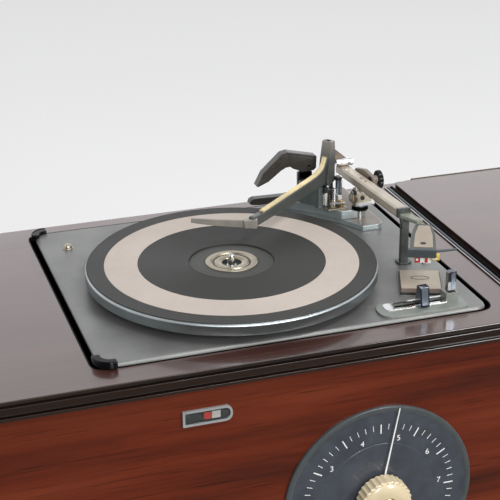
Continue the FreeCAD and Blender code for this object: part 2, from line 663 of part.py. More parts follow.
def record_clamp():
    jaw = plate("clamp_jaw", [("70.7", "47.8"), ("74", "48"), ("84.6", "52.1"),
                              ("98.6", "63.2"), ("104", "66"), ("109.2", "66.7"),
                              ("112.7", "63.9"), ("125.7", "58.8"), ("139", "59.5"),
                              ("142.1", "66.3"), ("140.8", "76.9"), ("105.6", "84.6"),
                              ("98.6", "83.1"), ("77.7", "63.5")], "11.5",
                ("0", "146", "0"), role="XZ_Plane")
    bore = rod("clamp_bore", "2.05", "14", ("133", "133", "65"), along="y")
    cut("record_clamp", jaw, [bore])
    finger = plate("feeler_finger", [("67", "24.4"), ("70.6", "22.8"), ("80", "21.6"),
                                     ("102", "21.6"), ("105", "21.8"), ("112", "21.8"),
                                     ("112", "29.2"), ("98.6", "29.4"), ("72.6", "30"),
                                     ("68.6", "28.4")], "9",
                   ("0", "154", "0"), role="XZ_Plane")
    eye = rod("feeler_eye", "5", "7.4", ("112", "150", "21.8"))
    feeler_bore = rod("feeler_bore", "2.05", "12", ("112", "150", "20"))
    cut("size_feeler", fuse("feeler_blank", [finger, eye]), [feeler_bore])


def tonearm():
    shaft = rod("yoke_shaft", "3", "30", ("arm_x", "pivot_y", "5"))
    seat = box("yoke_seat", ("arm_x - 11.5", "arm_x + 11.5"), ("axle_y - 6", "pivot_y + 7"),
               ("30", "37"))
    cheeks = [plate(f"yoke_cheek_{number}", [("-8", "36"), ("12", "36"), ("1", "51"),
                                             ("-5", "51")], "2",
                    (across, "axle_y", "0"), role="YZ_Plane")
              for number, across in enumerate(("arm_x - 11.5", "arm_x + 9.5"))]
    axle = rod("yoke_axle", "1.5", "27", ("arm_x - 13.5", "axle_y", "axle_z"), along="x")
    fuse("tonearm_yoke", [shaft, seat, axle] + cheeks)

    slope = FreeCAD.Rotation(X_AXIS, -DIMENSIONS["tube_rise"])
    front = ("arm_x - tube_width / 2", "tube_tail - tube_length * cos(tube_rise)",
             "tube_tail_z - tube_height / 2 + tube_length * sin(tube_rise)")
    tube = doc.addObject("Part::Box", "tube_bar")
    bind(tube, "Length", "tube_width")
    bind(tube, "Width", "tube_length")
    bind(tube, "Height", "tube_height")
    place(tube, front, slope)
    lug = box("tube_lug", ("arm_x - 5", "arm_x + 5"), ("axle_y - 5", "axle_y + 5"),
              ("axle_z - 4", "51"))
    neck = plate("tube_neck", [("-5", "3"), ("5", "3"), ("5", "-24"), ("-5", "-24")], "6.5",
                 ("arm_x", "-16.5", "54.6"), turn=FreeCAD.Rotation(Z_AXIS, 20))
    tail = plate("tube_tail_plate", [("-7", "-5"), ("7", "-5"), ("7", "10"), ("-9", "24"),
                                     ("-14", "24"), ("-14", "8"), ("-7", "4")], "2",
                 ("arm_x", "tube_tail + 1", "tube_tail_z"), role="XZ_Plane")
    cheek = plate("tube_cheek", [("82", "53"), ("112", "53"), ("134", "53.4"),
                                 ("134", "56.6"), ("110", "63"), ("82", "62")], "5",
                  ("arm_x + 7", "0", "0"), role="YZ_Plane")
    bores = [rod("tube_bore", "1.55", "30", ("arm_x - 15", "axle_y", "axle_z"), along="x"),
             rod("stub_bore", "4.65", "7", ("arm_x + 7", "axle_y", "57"), along="x")]
    cut("tonearm_tube", fuse("tube_metal", [tube, lug, neck, tail, cheek]), bores)
    rod("counterweight", "4.4", "20", ("arm_x - 10", "tube_tail - 6", "59.3"), along="x")
    stub = rod("knob_stub", "4.6", "8", ("arm_x + 7", "axle_y", "57"), along="x")
    disc = rod("knob_disc", "10", "4.6", ("arm_x + 15", "axle_y", "57"), along="x")
    fuse("balance_knob", [stub, disc])
    box("arm_rest", ("178", "186"), ("-19.5", "-14"), ("plate_top", "54.6"))


def pickup_head():
    """The shell is turned inwards by its offset, and droops towards the stylus."""
    attitude = FreeCAD.Rotation(Z_AXIS, HEAD_OFFSET).multiply(
        FreeCAD.Rotation(X_AXIS, HEAD_DROOP))
    rear = ("190.6", "-42.6", "46.5")
    shell = plate("shell_block", [("-8", "0"), ("8", "0"), ("11", "-22"), ("12", "-46"),
                                  ("-12", "-46"), ("-11", "-22")], "9.5", rear, turn=attitude)
    hollow = plate("shell_hollow", [("-6", "-3"), ("6", "-3"), ("9.4", "-22"),
                                    ("10.3", "-44.3"), ("-10.3", "-44.3"), ("-9.4", "-22")],
                   "8", rear, turn=attitude)
    lift = plate("finger_lift", [("11.5", "-38"), ("30", "-41.5"), ("30", "-44"),
                                 ("11.5", "-45.5")], "1.6",
                 ("189.4", "-45.2", "52.6"), turn=attitude)
    cut("headshell", fuse("shell_metal", [shell, lift]), [hollow])
    body = plate("cartridge_body", [("-7", "-22"), ("7", "-22"), ("7", "-41"), ("-7", "-41")],
                 "10", ("190.6", "-42.6", "39"), turn=attitude)
    needle = plate("stylus", [("-1.2", "-38"), ("1.2", "-38"), ("0.8", "-44.4"),
                              ("-0.8", "-44.4")], "2.6", ("190.6", "-42.6", "35.2"),
                   turn=attitude)
    fuse("cartridge", [body, needle])


def controls():
    turn = FreeCAD.Rotation(Z_AXIS, PANEL_HEADING)
    plate("control_panel", rectangle(("-20.3", "20.3"), ("-25.6", "25.6")), "5",
          ("174.9", "-74.4", "plate_top"), turn=turn)
    tray = box("tray_bar", ("124", "198"), ("-138", "-107"), ("plate_top", "6.6"))
    tray_end = rod("tray_end", "15.5", "2.6", ("124", "-122.5", "plate_top"))
    slot = box("tray_slot", ("127", "180"), ("-121", "-112"), ("3", "8"))
    block = box("speed_block", ("179.5", "193"), ("-124", "-111"), ("plate_top", "15"))
    pocket = box("speed_pocket", ("183.4", "190.8"), ("-122.5", "-112.5"), ("8", "16"))
    pivot_bore = rod("speed_bore", "1.25", "12", ("181", "-117.5", "9.6"), along="x")
    cut("selector_tray", fuse("tray_metal", [tray, tray_end, block]),
        [slot, pocket, pivot_bore])
    knob = plate("lever_knob", [("-6.5", "7.4"), ("7.5", "7.4"), ("6.5", "10"),
                                ("4", "25"), ("2.6", "27.2"), ("-2.6", "27.2"),
                                ("-4.4", "25"), ("-6.5", "10")], "9.4",
                 ("150.1", "-123.5", "0"), role="YZ_Plane")
    stem = box("lever_stem", ("152.3", "157.3"), ("-119.8", "-117"), ("-10", "8"))
    fuse("start_lever", [knob, stem])
    paddle = box("speed_paddle", ("182.6", "191.6"), ("-120.4", "-114.6"), ("16.2", "36"))
    speed_stem = box("speed_stem", ("184.4", "189.8"), ("-119", "-116"), ("8.6", "17"))
    pivot = rod("speed_pivot", "1.2", "11", ("181.6", "-117.5", "9.6"), along="x")
    fuse("speed_lever", [paddle, speed_stem, pivot])


NODES = [
    "top_panel", "top_moulding", "side_panels", "bottom_board",
    "fascia_panel", "indicator_window", "grille_frame", "grille_cloth", "speaker_baffle",
    "loudspeakers", "back_panel", "back_panel_screws", "mains_inlet",
    "legs", "record_well", "record_lid", "lid_trim_strip",
    "lid_hinge_fixed", "lid_hinge_moving", "dial_plate", "tuning_knob", "dial_pointer",
    "volume_knob", "band_knob", "radio_chassis", "power_transformer",
    "radio_valves", "tuning_capacitor", "capacitor_rotor", "deck_plate", "deck_gasket",
    "corner_guards", "deck_screws", "suspension_springs", "deck_motor", "motor_pulley",
    "idler_wheel", "idler_arm", "platter", "platter_mat", "centre_adapter",
    "turntable_spindle", "tonearm_base", "changer_brackets", "overarm_shaft",
    "overarm", "overarm_strip", "record_clamp", "size_feeler", "tonearm_yoke",
    "tonearm_tube", "counterweight", "balance_knob", "arm_rest", "headshell", "cartridge",
    "control_panel", "selector_tray", "start_lever", "speed_lever",
]


def build():
    dimension_sheet()
    for make in (cabinet_top, top_moulding, case_boards, fascia, grille, loudspeakers, back,
                 legs, record_well, lid, dial, small_knobs, radio_chassis, tuning_capacitor,
                 deck_plate, deck_seal, deck_trim, drive, platter, tonearm_base, overarm,
                 record_clamp, tonearm, pickup_head, controls):
        make()
    doc.recompute()


def check():
    """Refuse to write anything while a feature has failed or a shape is not sound."""
    for thing in doc.Objects:
        if {"Invalid", "Error"} & set(thing.State):
            raise RuntimeError(f"{thing.Name} failed: {thing.State}")
    for name in NODES:
        shape = doc.getObject(name).Shape
        if shape.isNull() or not shape.isValid() or not shape.Solids:
            raise RuntimeError(f"{name} is not a sound solid")


def export():
    os.makedirs("parts", exist_ok=True)
    for name in NODES:
        thing = doc.getObject(name)
        thing.Label = name
        thing.Shape.exportStep(os.path.join("parts", name + ".step"))


build()
check()
export()
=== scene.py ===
import json
import math

import bmesh
import bpy
from mathutils import Matrix, Vector


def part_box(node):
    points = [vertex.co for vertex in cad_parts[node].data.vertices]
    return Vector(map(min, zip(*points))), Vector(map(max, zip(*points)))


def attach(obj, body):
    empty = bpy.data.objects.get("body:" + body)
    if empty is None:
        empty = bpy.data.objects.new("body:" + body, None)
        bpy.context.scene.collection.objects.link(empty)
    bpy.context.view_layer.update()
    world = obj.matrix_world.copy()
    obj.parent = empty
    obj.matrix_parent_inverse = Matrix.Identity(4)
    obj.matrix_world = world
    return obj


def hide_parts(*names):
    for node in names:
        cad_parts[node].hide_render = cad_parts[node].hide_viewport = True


# The looks of a radio phonograph console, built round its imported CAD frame.
# Shapes are given in millimetres from the deck datum: the spindle's axis, at the level of
# the cabinet's top.  +X is to the right, +Y to the back, +Z up.

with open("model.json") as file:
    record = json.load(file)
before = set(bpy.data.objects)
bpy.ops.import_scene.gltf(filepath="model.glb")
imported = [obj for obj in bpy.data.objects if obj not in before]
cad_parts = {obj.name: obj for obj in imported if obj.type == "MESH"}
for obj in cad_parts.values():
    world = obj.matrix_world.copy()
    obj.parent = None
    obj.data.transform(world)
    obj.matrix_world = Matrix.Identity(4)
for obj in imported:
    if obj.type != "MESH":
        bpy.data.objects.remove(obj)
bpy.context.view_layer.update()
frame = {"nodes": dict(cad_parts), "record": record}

spindle_low, spindle_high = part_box("turntable_spindle")
DATUM = Vector(((spindle_low.x + spindle_high.x) / 2, (spindle_low.y + spindle_high.y) / 2,
                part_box("top_panel")[1].z))
MM = 0.001


def limits(node):
    """A CAD node's low and high corners, in millimetres from the deck datum."""
    low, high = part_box(node)
    return (low - DATUM) / MM, (high - DATUM) / MM


# ---------------------------------------------------------------- materials

def add_node(tree, kind, inputs=None, **properties):
    """A shader node whose inputs are either links or plain values."""
    made = tree.nodes.new(kind)
    for key, value in properties.items():
        setattr(made, key, value)
    for key, value in (inputs or {}).items():
        if isinstance(value, bpy.types.NodeSocket):
            tree.links.new(value, made.inputs[key])
        else:
            made.inputs[key].default_value = value
    return made


def tinted(colour, factor):
    """A colour made darker or lighter."""
    return tuple(min(1.0, c * factor) for c in colour)


class Finish:
    """A material, with the nodes that give its surface its detail."""

    def __init__(self, name, colour, roughness, **sockets):
        self.material = bpy.data.materials.new(name)
        self.material.use_nodes = True
        self.tree = self.material.node_tree
        self.shader = self.tree.nodes["Principled BSDF"]
        self.shader.inputs["Base Color"].default_value = (*colour, 1)
        self.shader.inputs["Roughness"].default_value = roughness
        for key, value in sockets.items():
            self.shader.inputs[key.replace("_", " ")].default_value = value

    def node(self, kind, inputs=None, **properties):
        return add_node(self.tree, kind, inputs, **properties)

    def place(self, stretch=(1, 1, 1)):
        """Object coordinates in metres, multiplied along each axis."""
        source = self.node("ShaderNodeTexCoord").outputs["Object"]
        return self.node("ShaderNodeMapping", {"Vector": source,
                                               "Scale": stretch}).outputs["Vector"]

    def noise(self, scale, stretch=(1, 1, 1), detail=4.0, roughness=0.55, distortion=0.0):
        return self.node("ShaderNodeTexNoise", {
            "Vector": self.place(stretch), "Scale": scale, "Detail": detail,
            "Roughness": roughness, "Distortion": distortion}).outputs["Fac"]

    def ramp(self, factor, stops):
        made = self.node("ShaderNodeValToRGB", {"Fac": factor})
        elements = made.color_ramp.elements
        while len(elements) < len(stops):
            elements.new(0.5)
        for element, (position, colour) in zip(elements, stops):
            element.position = position
            element.color = (*colour, 1)
        return made.outputs["Color"]

    def span(self, factor, low, high, start=0.0, end=1.0):
        """A factor mapped from start..end to low..high."""
        return self.node("ShaderNodeMapRange", {
            "Value": factor, "From Min": start, "From Max": end, "To Min": low,
            "To Max": high}).outputs["Result"]

    def blend(self, factor, first, second):
        """One colour passing into another; the second is a plain colour."""
        first = first if isinstance(first, bpy.types.NodeSocket) else (*first, 1)
        made = self.node("ShaderNodeMix", {0: factor, 6: first, 7: (*second, 1)},
                         data_type="RGBA")
        return made.outputs[2]

    def arithmetic(self, operation, first, second=0.0):
        return self.node("ShaderNodeMath", {0: first, 1: second},
                         operation=operation).outputs[0]

    def link(self, socket, target):
        self.tree.links.new(socket, self.shader.inputs[target])

    def tone(self, factor, stops):
        """Base colours along a factor."""
        self.link(self.ramp(factor, stops), "Base Color")

    def shine(self, factor, low, high):
        """Roughness from low to high along a factor."""
        self.link(self.span(factor, low, high), "Roughness")

    def bump(self, height, distance, strength=1.0):
        """Surface relief of a given depth in millimetres."""
        made = self.node("ShaderNodeBump", {"Height": height, "Distance": distance * MM,
                                            "Strength": strength})
        self.link(made.outputs["Normal"], "Normal")


def wood(name, dark, mid, light, grain="x", gloss=0.05, coat=1.0, sheen_level=0.15):
    """Veneer or solid timber, with its grain along one axis."""
    finish = Finish(name, mid, 0.42, Coat_Weight=coat, Coat_Roughness=gloss, Coat_IOR=1.62,
                    Specular_IOR_Level=sheen_level)

    def drawn_out(along, across):
        return tuple(along if axis == grain else across for axis in "xyz")

    figure = finish.noise(1.0, drawn_out(1.3, 22.0), detail=5, roughness=0.6, distortion=0.7)
    pores = finish.noise(1.0, drawn_out(11.7, 572.0), detail=3, roughness=0.6)
    colour = finish.ramp(figure, [(0.30, dark), (0.50, mid), (0.68, light)])
    pore_mask = finish.span(pores, 0.0, 0.55, start=0.56, end=0.70)
    finish.link(finish.blend(pore_mask, colour, tinted(dark, 0.35)), "Base Color")
    finish.shine(finish.noise(7.0, detail=3), 0.34, 0.52)
    finish.bump(pores, 0.02, 0.35)
    return finish.material


def enamel(name, colour, roughness=0.35, mottle=0.12, grit=0.03, scale=60.0, **sockets):
    """Sprayed paint: slight changes of tone, and a fine orange peel."""
    finish = Finish(name, colour, roughness, **sockets)
    finish.tone(finish.noise(scale, detail=5),
                [(0.3, tinted(colour, 1 - mottle)), (0.7, tinted(colour, 1 + mottle))])
    finish.shine(finish.noise(scale * 0.4), roughness * 0.8, roughness * 1.25)
    finish.bump(finish.noise(900.0, detail=2), grit, 0.5)
    return finish.material


def metal(name, colour, roughness):
    """Plated or bare metal with faint stains."""
    finish = Finish(name, colour, roughness, Metallic=1.0)
    stain = finish.noise(45.0, detail=5)
    finish.tone(stain, [(0.32, tinted(colour, 0.868)), (0.6, colour)])
    finish.shine(stain, roughness * 0.8, roughness * 1.3)
    finish.bump(finish.noise(700.0, detail=2), 0.004, 0.3)
    return finish.material


def worn_casting(name, painted, highlight_colour, low, high):
    """Grey paint that turns paler between two heights above the deck and stays pale above
    them: a painted highlight on the upper part.
    """
    finish = Finish(name, painted, 0.30, Metallic=0.3)
    split = finish.node("ShaderNodeSeparateXYZ", {"Vector": finish.place()})
    ragged = finish.span(finish.noise(60.0, detail=5), -0.006, 0.006)
    height = finish.arithmetic("ADD", split.outputs["Z"], ragged)
    highlight_mask = finish.span(height, 0.0, 1.0, start=DATUM.z + low * MM,
                       end=DATUM.z + high * MM)
    speck = finish.noise(160.0, detail=4)
    base = finish.ramp(speck, [(0.3, tinted(painted, 0.8)), (0.7, painted)])
    finish.link(finish.blend(highlight_mask, base, highlight_colour), "Base Color")
    finish.shine(speck, 0.24, 0.38)
    finish.bump(finish.noise(900.0, detail=2), 0.02, 0.5)
    return finish.material


def turned_metal(name, colour, roughness):
    """Metal with the fine rings of the lathe, which draw its highlights out."""
    finish = Finish(name, colour, roughness, Metallic=1.0, Anisotropic=0.85)
    around = finish.node("ShaderNodeTangent", direction_type="RADIAL", axis="Z")
    finish.link(around.outputs["Tangent"], "Tangent")
    stain = finish.noise(30.0, detail=5)
    finish.tone(stain, [(0.3, tinted(colour, 0.8)), (0.65, colour)])
    rings = finish.noise(1.0, (4, 4, 3000), detail=3)
    finish.bump(rings, 0.006, 0.3)
    return finish.material


def plastic(name, colour, roughness=0.22, speckle=0.1, **sockets):
    """Moulded plastic, faintly clouded."""
    finish = Finish(name, colour, roughness, **sockets)
    finish.tone(finish.noise(35.0, detail=6),
                [(0.3, tinted(colour, 1 - speckle)), (0.7, tinted(colour, 1 + speckle))])
    finish.shine(finish.noise(120.0), roughness * 0.8, roughness * 1.4)
    finish.bump(finish.noise(1400.0, detail=2), 0.006, 0.4)
    return finish.material


def rubber(name, colour, roughness=0.55, level=0.5):
    """Matt rubber with a little dust on it."""
    finish = Finish(name, colour, roughness, Specular_IOR_Level=level)
    dust = finish.noise(14.0, detail=7, roughness=0.7)
    dusty = tuple(0.85 * c + 0.012 * level for c in colour)
    finish.tone(dust, [(0.35, colour), (0.75, dusty)])
    finish.shine(dust, roughness * 0.85, roughness * 1.3)
    finish.bump(finish.noise(1600.0, detail=3), 0.02, 0.5)
    return finish.material


THREAD_PITCH = 1.1


def cloth(name, warp_colour, weft_colour):
    """A plain weave: two sets of threads, each over and under the other."""
    finish = Finish(name, warp_colour, 0.85, Sheen_Weight=0.25, Sheen_Roughness=0.5)
    turns = 2 * math.pi / (THREAD_PITCH * MM)
    split = finish.node("ShaderNodeSeparateXYZ", {"Vector": finish.place()})

    def wave(axis):
        angle = finish.arithmetic("MULTIPLY", split.outputs[axis], turns)
        return finish.arithmetic("SINE", angle)

    crossing = finish.arithmetic("MULTIPLY", wave("X"), wave("Z"))
    over = finish.span(crossing, 0.0, 1.0, start=-0.7, end=0.7)
    slub = finish.noise(1.0, (60, 60, 900), detail=3)
    woven = finish.ramp(over, [(0.15, weft_colour), (0.85, warp_colour)])
    finish.link(finish.blend(finish.span(slub, 0, 0.5, 0.5, 0.8), woven,
                             tinted(weft_colour, 0.5)), "Base Color")
    finish.bump(crossing, 0.25, 0.9)
    return finish.material


def glass(name, colour):
    """Clear glass, a little uneven."""
    finish = Finish(name, colour, 0.03, Transmission_Weight=1.0, IOR=1.46)
    finish.shine(finish.noise(30.0), 0.03, 0.09)
    return finish.material


MATERIALS = {}


def add_look(name, kind, *values, **options):
    """Make a material of one kind, and keep it under its name."""
    MATERIALS[name] = kind(name, *values, **options)


add_look("mahogany", wood, (0.026, 0.006, 0.003), (0.105, 0.016, 0.005), (0.150, 0.027, 0.009),
         coat=0.45)
add_look("mahogany_top", wood, (0.040, 0.013, 0.010), (0.050, 0.016, 0.011),
         (0.062, 0.020, 0.014), gloss=0.13, sheen_level=0.6)
add_look("mahogany_side", wood, (0.030, 0.008, 0.005), (0.095, 0.022, 0.011),
         (0.150, 0.040, 0.018), grain="z")
add_look("dark_moulding", wood, (0.006, 0.003, 0.002), (0.014, 0.006, 0.003),
         (0.024, 0.010, 0.005), gloss=0.07, coat=0.9)
add_look("leg_wood", wood, (0.014, 0.005, 0.003), (0.035, 0.012, 0.007), (0.055, 0.020, 0.011),
         grain="z", gloss=0.12, coat=0.4)
add_look("plywood", wood, (0.055, 0.022, 0.012), (0.105, 0.046, 0.024), (0.150, 0.075, 0.040),
         coat=0.15, gloss=0.3)
add_look("hardboard", enamel, (0.075, 0.040, 0.022), 0.75, 0.3, 0.08, 300.0)
add_look("grille_cloth", cloth, (0.46, 0.36, 0.20), (0.20, 0.13, 0.06))
add_look("indicator_glass", glass, (0.95, 0.95, 0.95))
add_look("speaker_metal", enamel, (0.05, 0.05, 0.055), 0.4)
add_look("bright_steel", metal, (0.60, 0.60, 0.60), 0.28)
add_look("bakelite", plastic, (0.022, 0.020, 0.018), 0.28)
add_look("black_trim", plastic, (0.003, 0.003, 0.004), 0.13, Specular_IOR_Level=0.16)
add_look("brass", metal, (0.60, 0.42, 0.20), 0.26)
add_look("dull_brass", metal, (0.13, 0.11, 0.09), 0.42)
add_look("dial_face", enamel, (0.053, 0.059, 0.073), 0.28, 0.2)
add_look("knob_plastic", plastic, (0.62, 0.52, 0.34), 0.18, Coat_Weight=0.5)
add_look("white_paint", enamel, (0.80, 0.80, 0.78), 0.3, 0.05)
add_look("black_paint", enamel, (0.012, 0.012, 0.013), 0.35, 0.25)
add_look("valve_glass", glass, (0.9, 0.9, 0.92))
add_look("aluminium", turned_metal, (0.40, 0.445, 0.455), 0.34)
add_look("deck_paint", enamel, (0.165, 0.168, 0.162), 0.36, 0.16, 0.02, 24.0, Metallic=0.35)
add_look("black_rubber", rubber, (0.002, 0.002, 0.002), 0.5, 0.05)
add_look("nickel", metal, (0.42, 0.375, 0.29), 0.28)
add_look("mat_rubber", rubber, (0.018, 0.018, 0.016), 0.5, 0.42)
add_look("mat_ring", rubber, (0.43, 0.375, 0.33), 0.6)
add_look("mat_centre", rubber, (0.032, 0.034, 0.028), 0.5)
add_look("chrome", metal, (0.78, 0.78, 0.78), 0.08)
add_look("cast_paint", enamel, (0.085, 0.100, 0.098), 0.34, 0.12, 0.03, 80.0)
add_look("ivory_strip", plastic, (0.60, 0.50, 0.29), 0.25, 0.22)
add_look("arm_paint", enamel, (0.42, 0.37, 0.30), 0.36, 0.10, 0.02, 50.0, Metallic=0.25)
add_look("head_paint", enamel, (0.29, 0.245, 0.195), 0.4, 0.08, 0.02, 60.0)
add_look("cartridge_plastic", plastic, (0.50, 0.045, 0.03), 0.3)
add_look("beige_plate", enamel, (0.31, 0.262, 0.205), 0.4, 0.08, 0.02, 60.0)
add_look("lever_plastic", plastic, (0.010, 0.010, 0.016), 0.12, Coat_Weight=1.0, Coat_IOR=1.9,
         Coat_Tint=(0.85, 0.9, 1.0, 1))
# The steps' bluish sides are a painted reflection, lighter than the brown plates laid on their
# tops.
add_look("cast_step", enamel, (0.33, 0.375, 0.375), 0.30, 0.10, 0.02, 80.0, Metallic=0.55)
add_look("step_top", enamel, (0.225, 0.195, 0.170), 0.38, 0.12, 0.02, 60.0, Metallic=0.2)
# The overarm's grey turns paler towards its top: a painted highlight.
add_look("overarm_grey", worn_casting, (0.075, 0.082, 0.077), (0.225, 0.205, 0.185), 74, 92)
add_look("red_lamp", plastic, (0.62, 0.08, 0.06), 0.3)
add_look("clear_plastic", plastic, (0.30, 0.31, 0.31), 0.12, Coat_Weight=0.5)
add_look("blue_steel", metal, (0.36, 0.43, 0.50), 0.3)
add_look("head_side", enamel, (0.065, 0.075, 0.066), 0.34, 0.12, 0.02, 80.0)
add_look("neck_grey", enamel, (0.20, 0.215, 0.175), 0.4, 0.3, 0.05, 220.0)
add_look("arm_brown", enamel, (0.17, 0.135, 0.105), 0.36, 0.12, 0.02, 60.0, Metallic=0.2)
add_look("nylon", plastic, (0.70, 0.70, 0.64), 0.35)
# A paler copy of the overarm's grey for its knee and blade: a painted highlight.
add_look("blade_grey", enamel, (0.215, 0.20, 0.175), 0.32, 0.15, 0.02, 90.0)
add_look("bakelite_grey", plastic, (0.032, 0.029, 0.025), 0.26, 0.25)
add_look("bakelite_green", plastic, (0.035, 0.043, 0.038), 0.26)
add_look("slate", enamel, (0.060, 0.070, 0.074), 0.36, 0.12, 0.02, 90.0)
add_look("yellow_plastic", plastic, (0.72, 0.50, 0.06), 0.3)
add_look("brown_enamel", enamel, (0.105, 0.075, 0.058), 0.4, 0.12, 0.02, 80.0)
add_look("tray_grey", enamel, (0.20, 0.215, 0.195), 0.36, 0.12, 0.02, 60.0, Metallic=0.3)
NODE_FINISH = {"side_panels": "mahogany_side", "lid_hinge_fixed": "dull_brass",
               "lid_hinge_moving": "dull_brass"}


# How far the sharp edges of CAD nodes that stay visible are eased.
CAD_EDGE_EASE = 0.3


def stand(name, data):
    """A new object in the scene."""
    made = bpy.data.objects.new(name, data)
    bpy.context.scene.collection.objects.link(made)
    return made


def smooth_faces(mesh, sharp):
    """Smooth shading, broken at edges sharper than an angle in degrees."""
    for polygon in mesh.polygons:
        polygon.use_smooth = True
    mesh.set_sharp_from_angle(angle=math.radians(sharp))


def weigh_normals(piece):
    """Keep large flat faces flat beside their eased edges."""
    piece.modifiers.new("even_shading", "WEIGHTED_NORMAL").keep_sharp = True


def dress_cad_nodes():
    """Every CAD node gets the detailed material of its slot."""
    for entry in frame["record"]["subparts"]:
        node = frame["nodes"][entry["node"]]
        look = NODE_FINISH.get(entry["node"], entry["material_slot"])
        node.data.materials.clear()
        node.data.materials.append(MATERIALS[look])
        smooth_faces(node.data, 32)
        weld = node.modifiers.new("weld", "WELD")
        weld.merge_threshold = 0.00001
        edges = node.modifiers.new("eased_edges", "BEVEL")
        edges.width = CAD_EDGE_EASE * MM
        edges.segments = 2
        edges.limit_method = "ANGLE"
        edges.angle_limit = math.radians(40)
        weigh_normals(node)


# ---------------------------------------------------------------- shapes

def bent(points, radius, steps=5, closed=True):
    """An outline with rounded corners; a point's third number is a radius of its own."""
    outline = []
    for index, point in enumerate(points):
        here = Vector(point[:2])
        corner = point[2] if len(point) > 2 else radius
        end = not closed and index in (0, len(points) - 1)
        back = Vector(points[index - 1][:2]) - here
        ahead = Vector(points[(index + 1) % len(points)][:2]) - here
        if end or corner <= 0 or back.angle(ahead) > math.radians(178):
            outline.append(here)
            continue
        reach = min(corner / math.tan(back.angle(ahead) / 2), 0.49 * back.length,
                    0.49 * ahead.length)
        first = here + back.normalized() * reach
        last = here + ahead.normalized() * reach
        for step in range(steps + 1):
            t = step / steps
            outline.append(first * (1 - t) ** 2 + here * 2 * t * (1 - t) + last * t ** 2)
    return outline


def smooth(points, steps=6):
    """A curve through points of two or three numbers."""
    points = [Vector(point) for point in points]
    padded = [2 * points[0] - points[1]] + points + [2 * points[-1] - points[-2]]
    curve = []
    for a, b, c, d in zip(padded, padded[1:], padded[2:], padded[3:]):
        for step in range(steps):
            t = step / steps
            curve.append(0.5 * (2 * b + (c - a) * t + (2 * a - 5 * b + 4 * c - d) * t ** 2
                                + (3 * b - a - 3 * c + d) * t ** 3))
    return curve + [points[-1]]


def rectangle(x_span, y_span):
    (left, right), (front, back) = x_span, y_span
    return [(left, front), (right, front), (right, back), (left, back)]


def rounded(x_span, y_span, radius, steps=5):
    return bent(rectangle(x_span, y_span), radius, steps)


def ellipse(wide, deep, steps=40):
    return [(wide * math.cos(turn), deep * math.sin(turn))
            for turn in (2 * math.pi * step / steps for step in range(steps))]


def circle(radius, steps=32):
    return ellipse(radius, radius, steps)


def ring(form, outline, height):
    """New vertices along an outline, at one height."""
    return [form.verts.new((point[0], point[1], height)) for point in outline]


def bridge(form, rows, closed=True):
    """Faces between each row of vertices and the next."""
    for lower, upper in zip(rows, rows[1:]):
        count = len(lower)
        for k in range(count if closed else count - 1):
            n = (k + 1) % count
            form.faces.new((lower[k], lower[n], upper[n], upper[k]))


def loop_edges(form, loop):
    """New edges round a loop of vertices."""
    return [form.edges.new((loop[k], loop[(k + 1) % len(loop)])) for k in range(len(loop))]


def outward(form):
    """Turn a closed form's faces to look outwards."""
    bmesh.ops.recalc_face_normals(form, faces=form.faces[:])
    return form


def ease(form, width, segments=2, angle=28):
    """Round a form's sharp edges."""
    if width > 0:
        form.normal_update()
        edges = [edge for edge in form.edges if len(edge.link_faces) == 2
                 and edge.calc_face_angle(0) > math.radians(angle)]
        bmesh.ops.bevel(form, geom=edges, offset=width, segments=segments, profile=0.5,
                        affect="EDGES", clamp_overlap=True)
    return form


def prism(outline, low, high, edge=0.4, holes=(), segments=2):
    """A flat form from its outline, with its edges eased and holes through it."""
    form = bmesh.new()
    levels = [[ring(form, loop, height) for loop in (outline, *holes)]
              for height in (low, high)]
    for loops, flip in zip(levels, (True, False)):
        if holes:
            edges = [made for loop in loops for made in loop_edges(form, loop)]
            bmesh.ops.triangle_fill(form, use_beauty=True, edges=edges)
        else:
            form.faces.new(loops[0][::-1] if flip else loops[0])
    for pair in zip(*levels):
        bridge(form, pair)
    return ease(outward(form), edge, segments)


def block(x_span, y_span, z_span, edge=0.4, segments=2):
    """A box between three spans, with its edges eased."""
    return prism(rectangle(x_span, y_span), *z_span, edge, segments=segments)


def turned(profile, steps=64, closed=False):
    """A form turned about Z from its (radius, height) profile."""
    form = bmesh.new()
    rings = []
    for radius, height in profile:
        rings.append(ring(form, [(0, 0)] if radius < 1e-6 else circle(radius, steps), height))
    for lower, upper in zip(rings, rings[1:] + (rings[:1] if closed else [])):
        for k in range(steps):
            n = (k + 1) % steps
            corners = [lower[k % len(lower)], lower[n % len(lower)],
                       upper[n % len(upper)], upper[k % len(upper)]]
            corners = list(dict.fromkeys(corners))
            if len(corners) > 2:
                form.faces.new(corners)
    return outward(form)


def rod(radius, length, edge=0.3, steps=32):
    """A round bar standing on the origin, with eased ends."""
    return turned([(0, 0), (radius - edge, 0), (radius, edge), (radius, length - edge),
                   (radius - edge, length), (0, length)], steps)


def swept(path, section, up=(0, 0, 1), shrink=None):
    """A closed section carried along a path; shrink scales it from start to end."""
    form = bmesh.new()
    path = [Vector(point) for point in path]
    count = len(path)
    rings = []
    for index, here in enumerate(path):
        ahead = path[min(index + 1, count - 1)] - path[max(index - 1, 0)]
        side = ahead.cross(Vector(up)).normalized()
        top = side.cross(ahead).normalized()
        size = shrink(index / max(1, count - 1)) if shrink else (1, 1)
        rings.append([form.verts.new(here + side * x * size[0] + top * y * size[1])
                      for x, y in section])
    bridge(form, rings)
    for end in (rings[0], rings[-1]):
        form.faces.new(end)
    return outward(form)


def coil(radius, wire, length, turns):
    """A compression spring standing on the origin."""
    steps = 20
    count = turns * steps
    path = [(radius * math.cos(2 * math.pi * k / steps),
             radius * math.sin(2 * math.pi * k / steps),
             wire + (length - 2 * wire) * k / count) for k in range(count + 1)]
    return swept(path, circle(wire, steps=8))


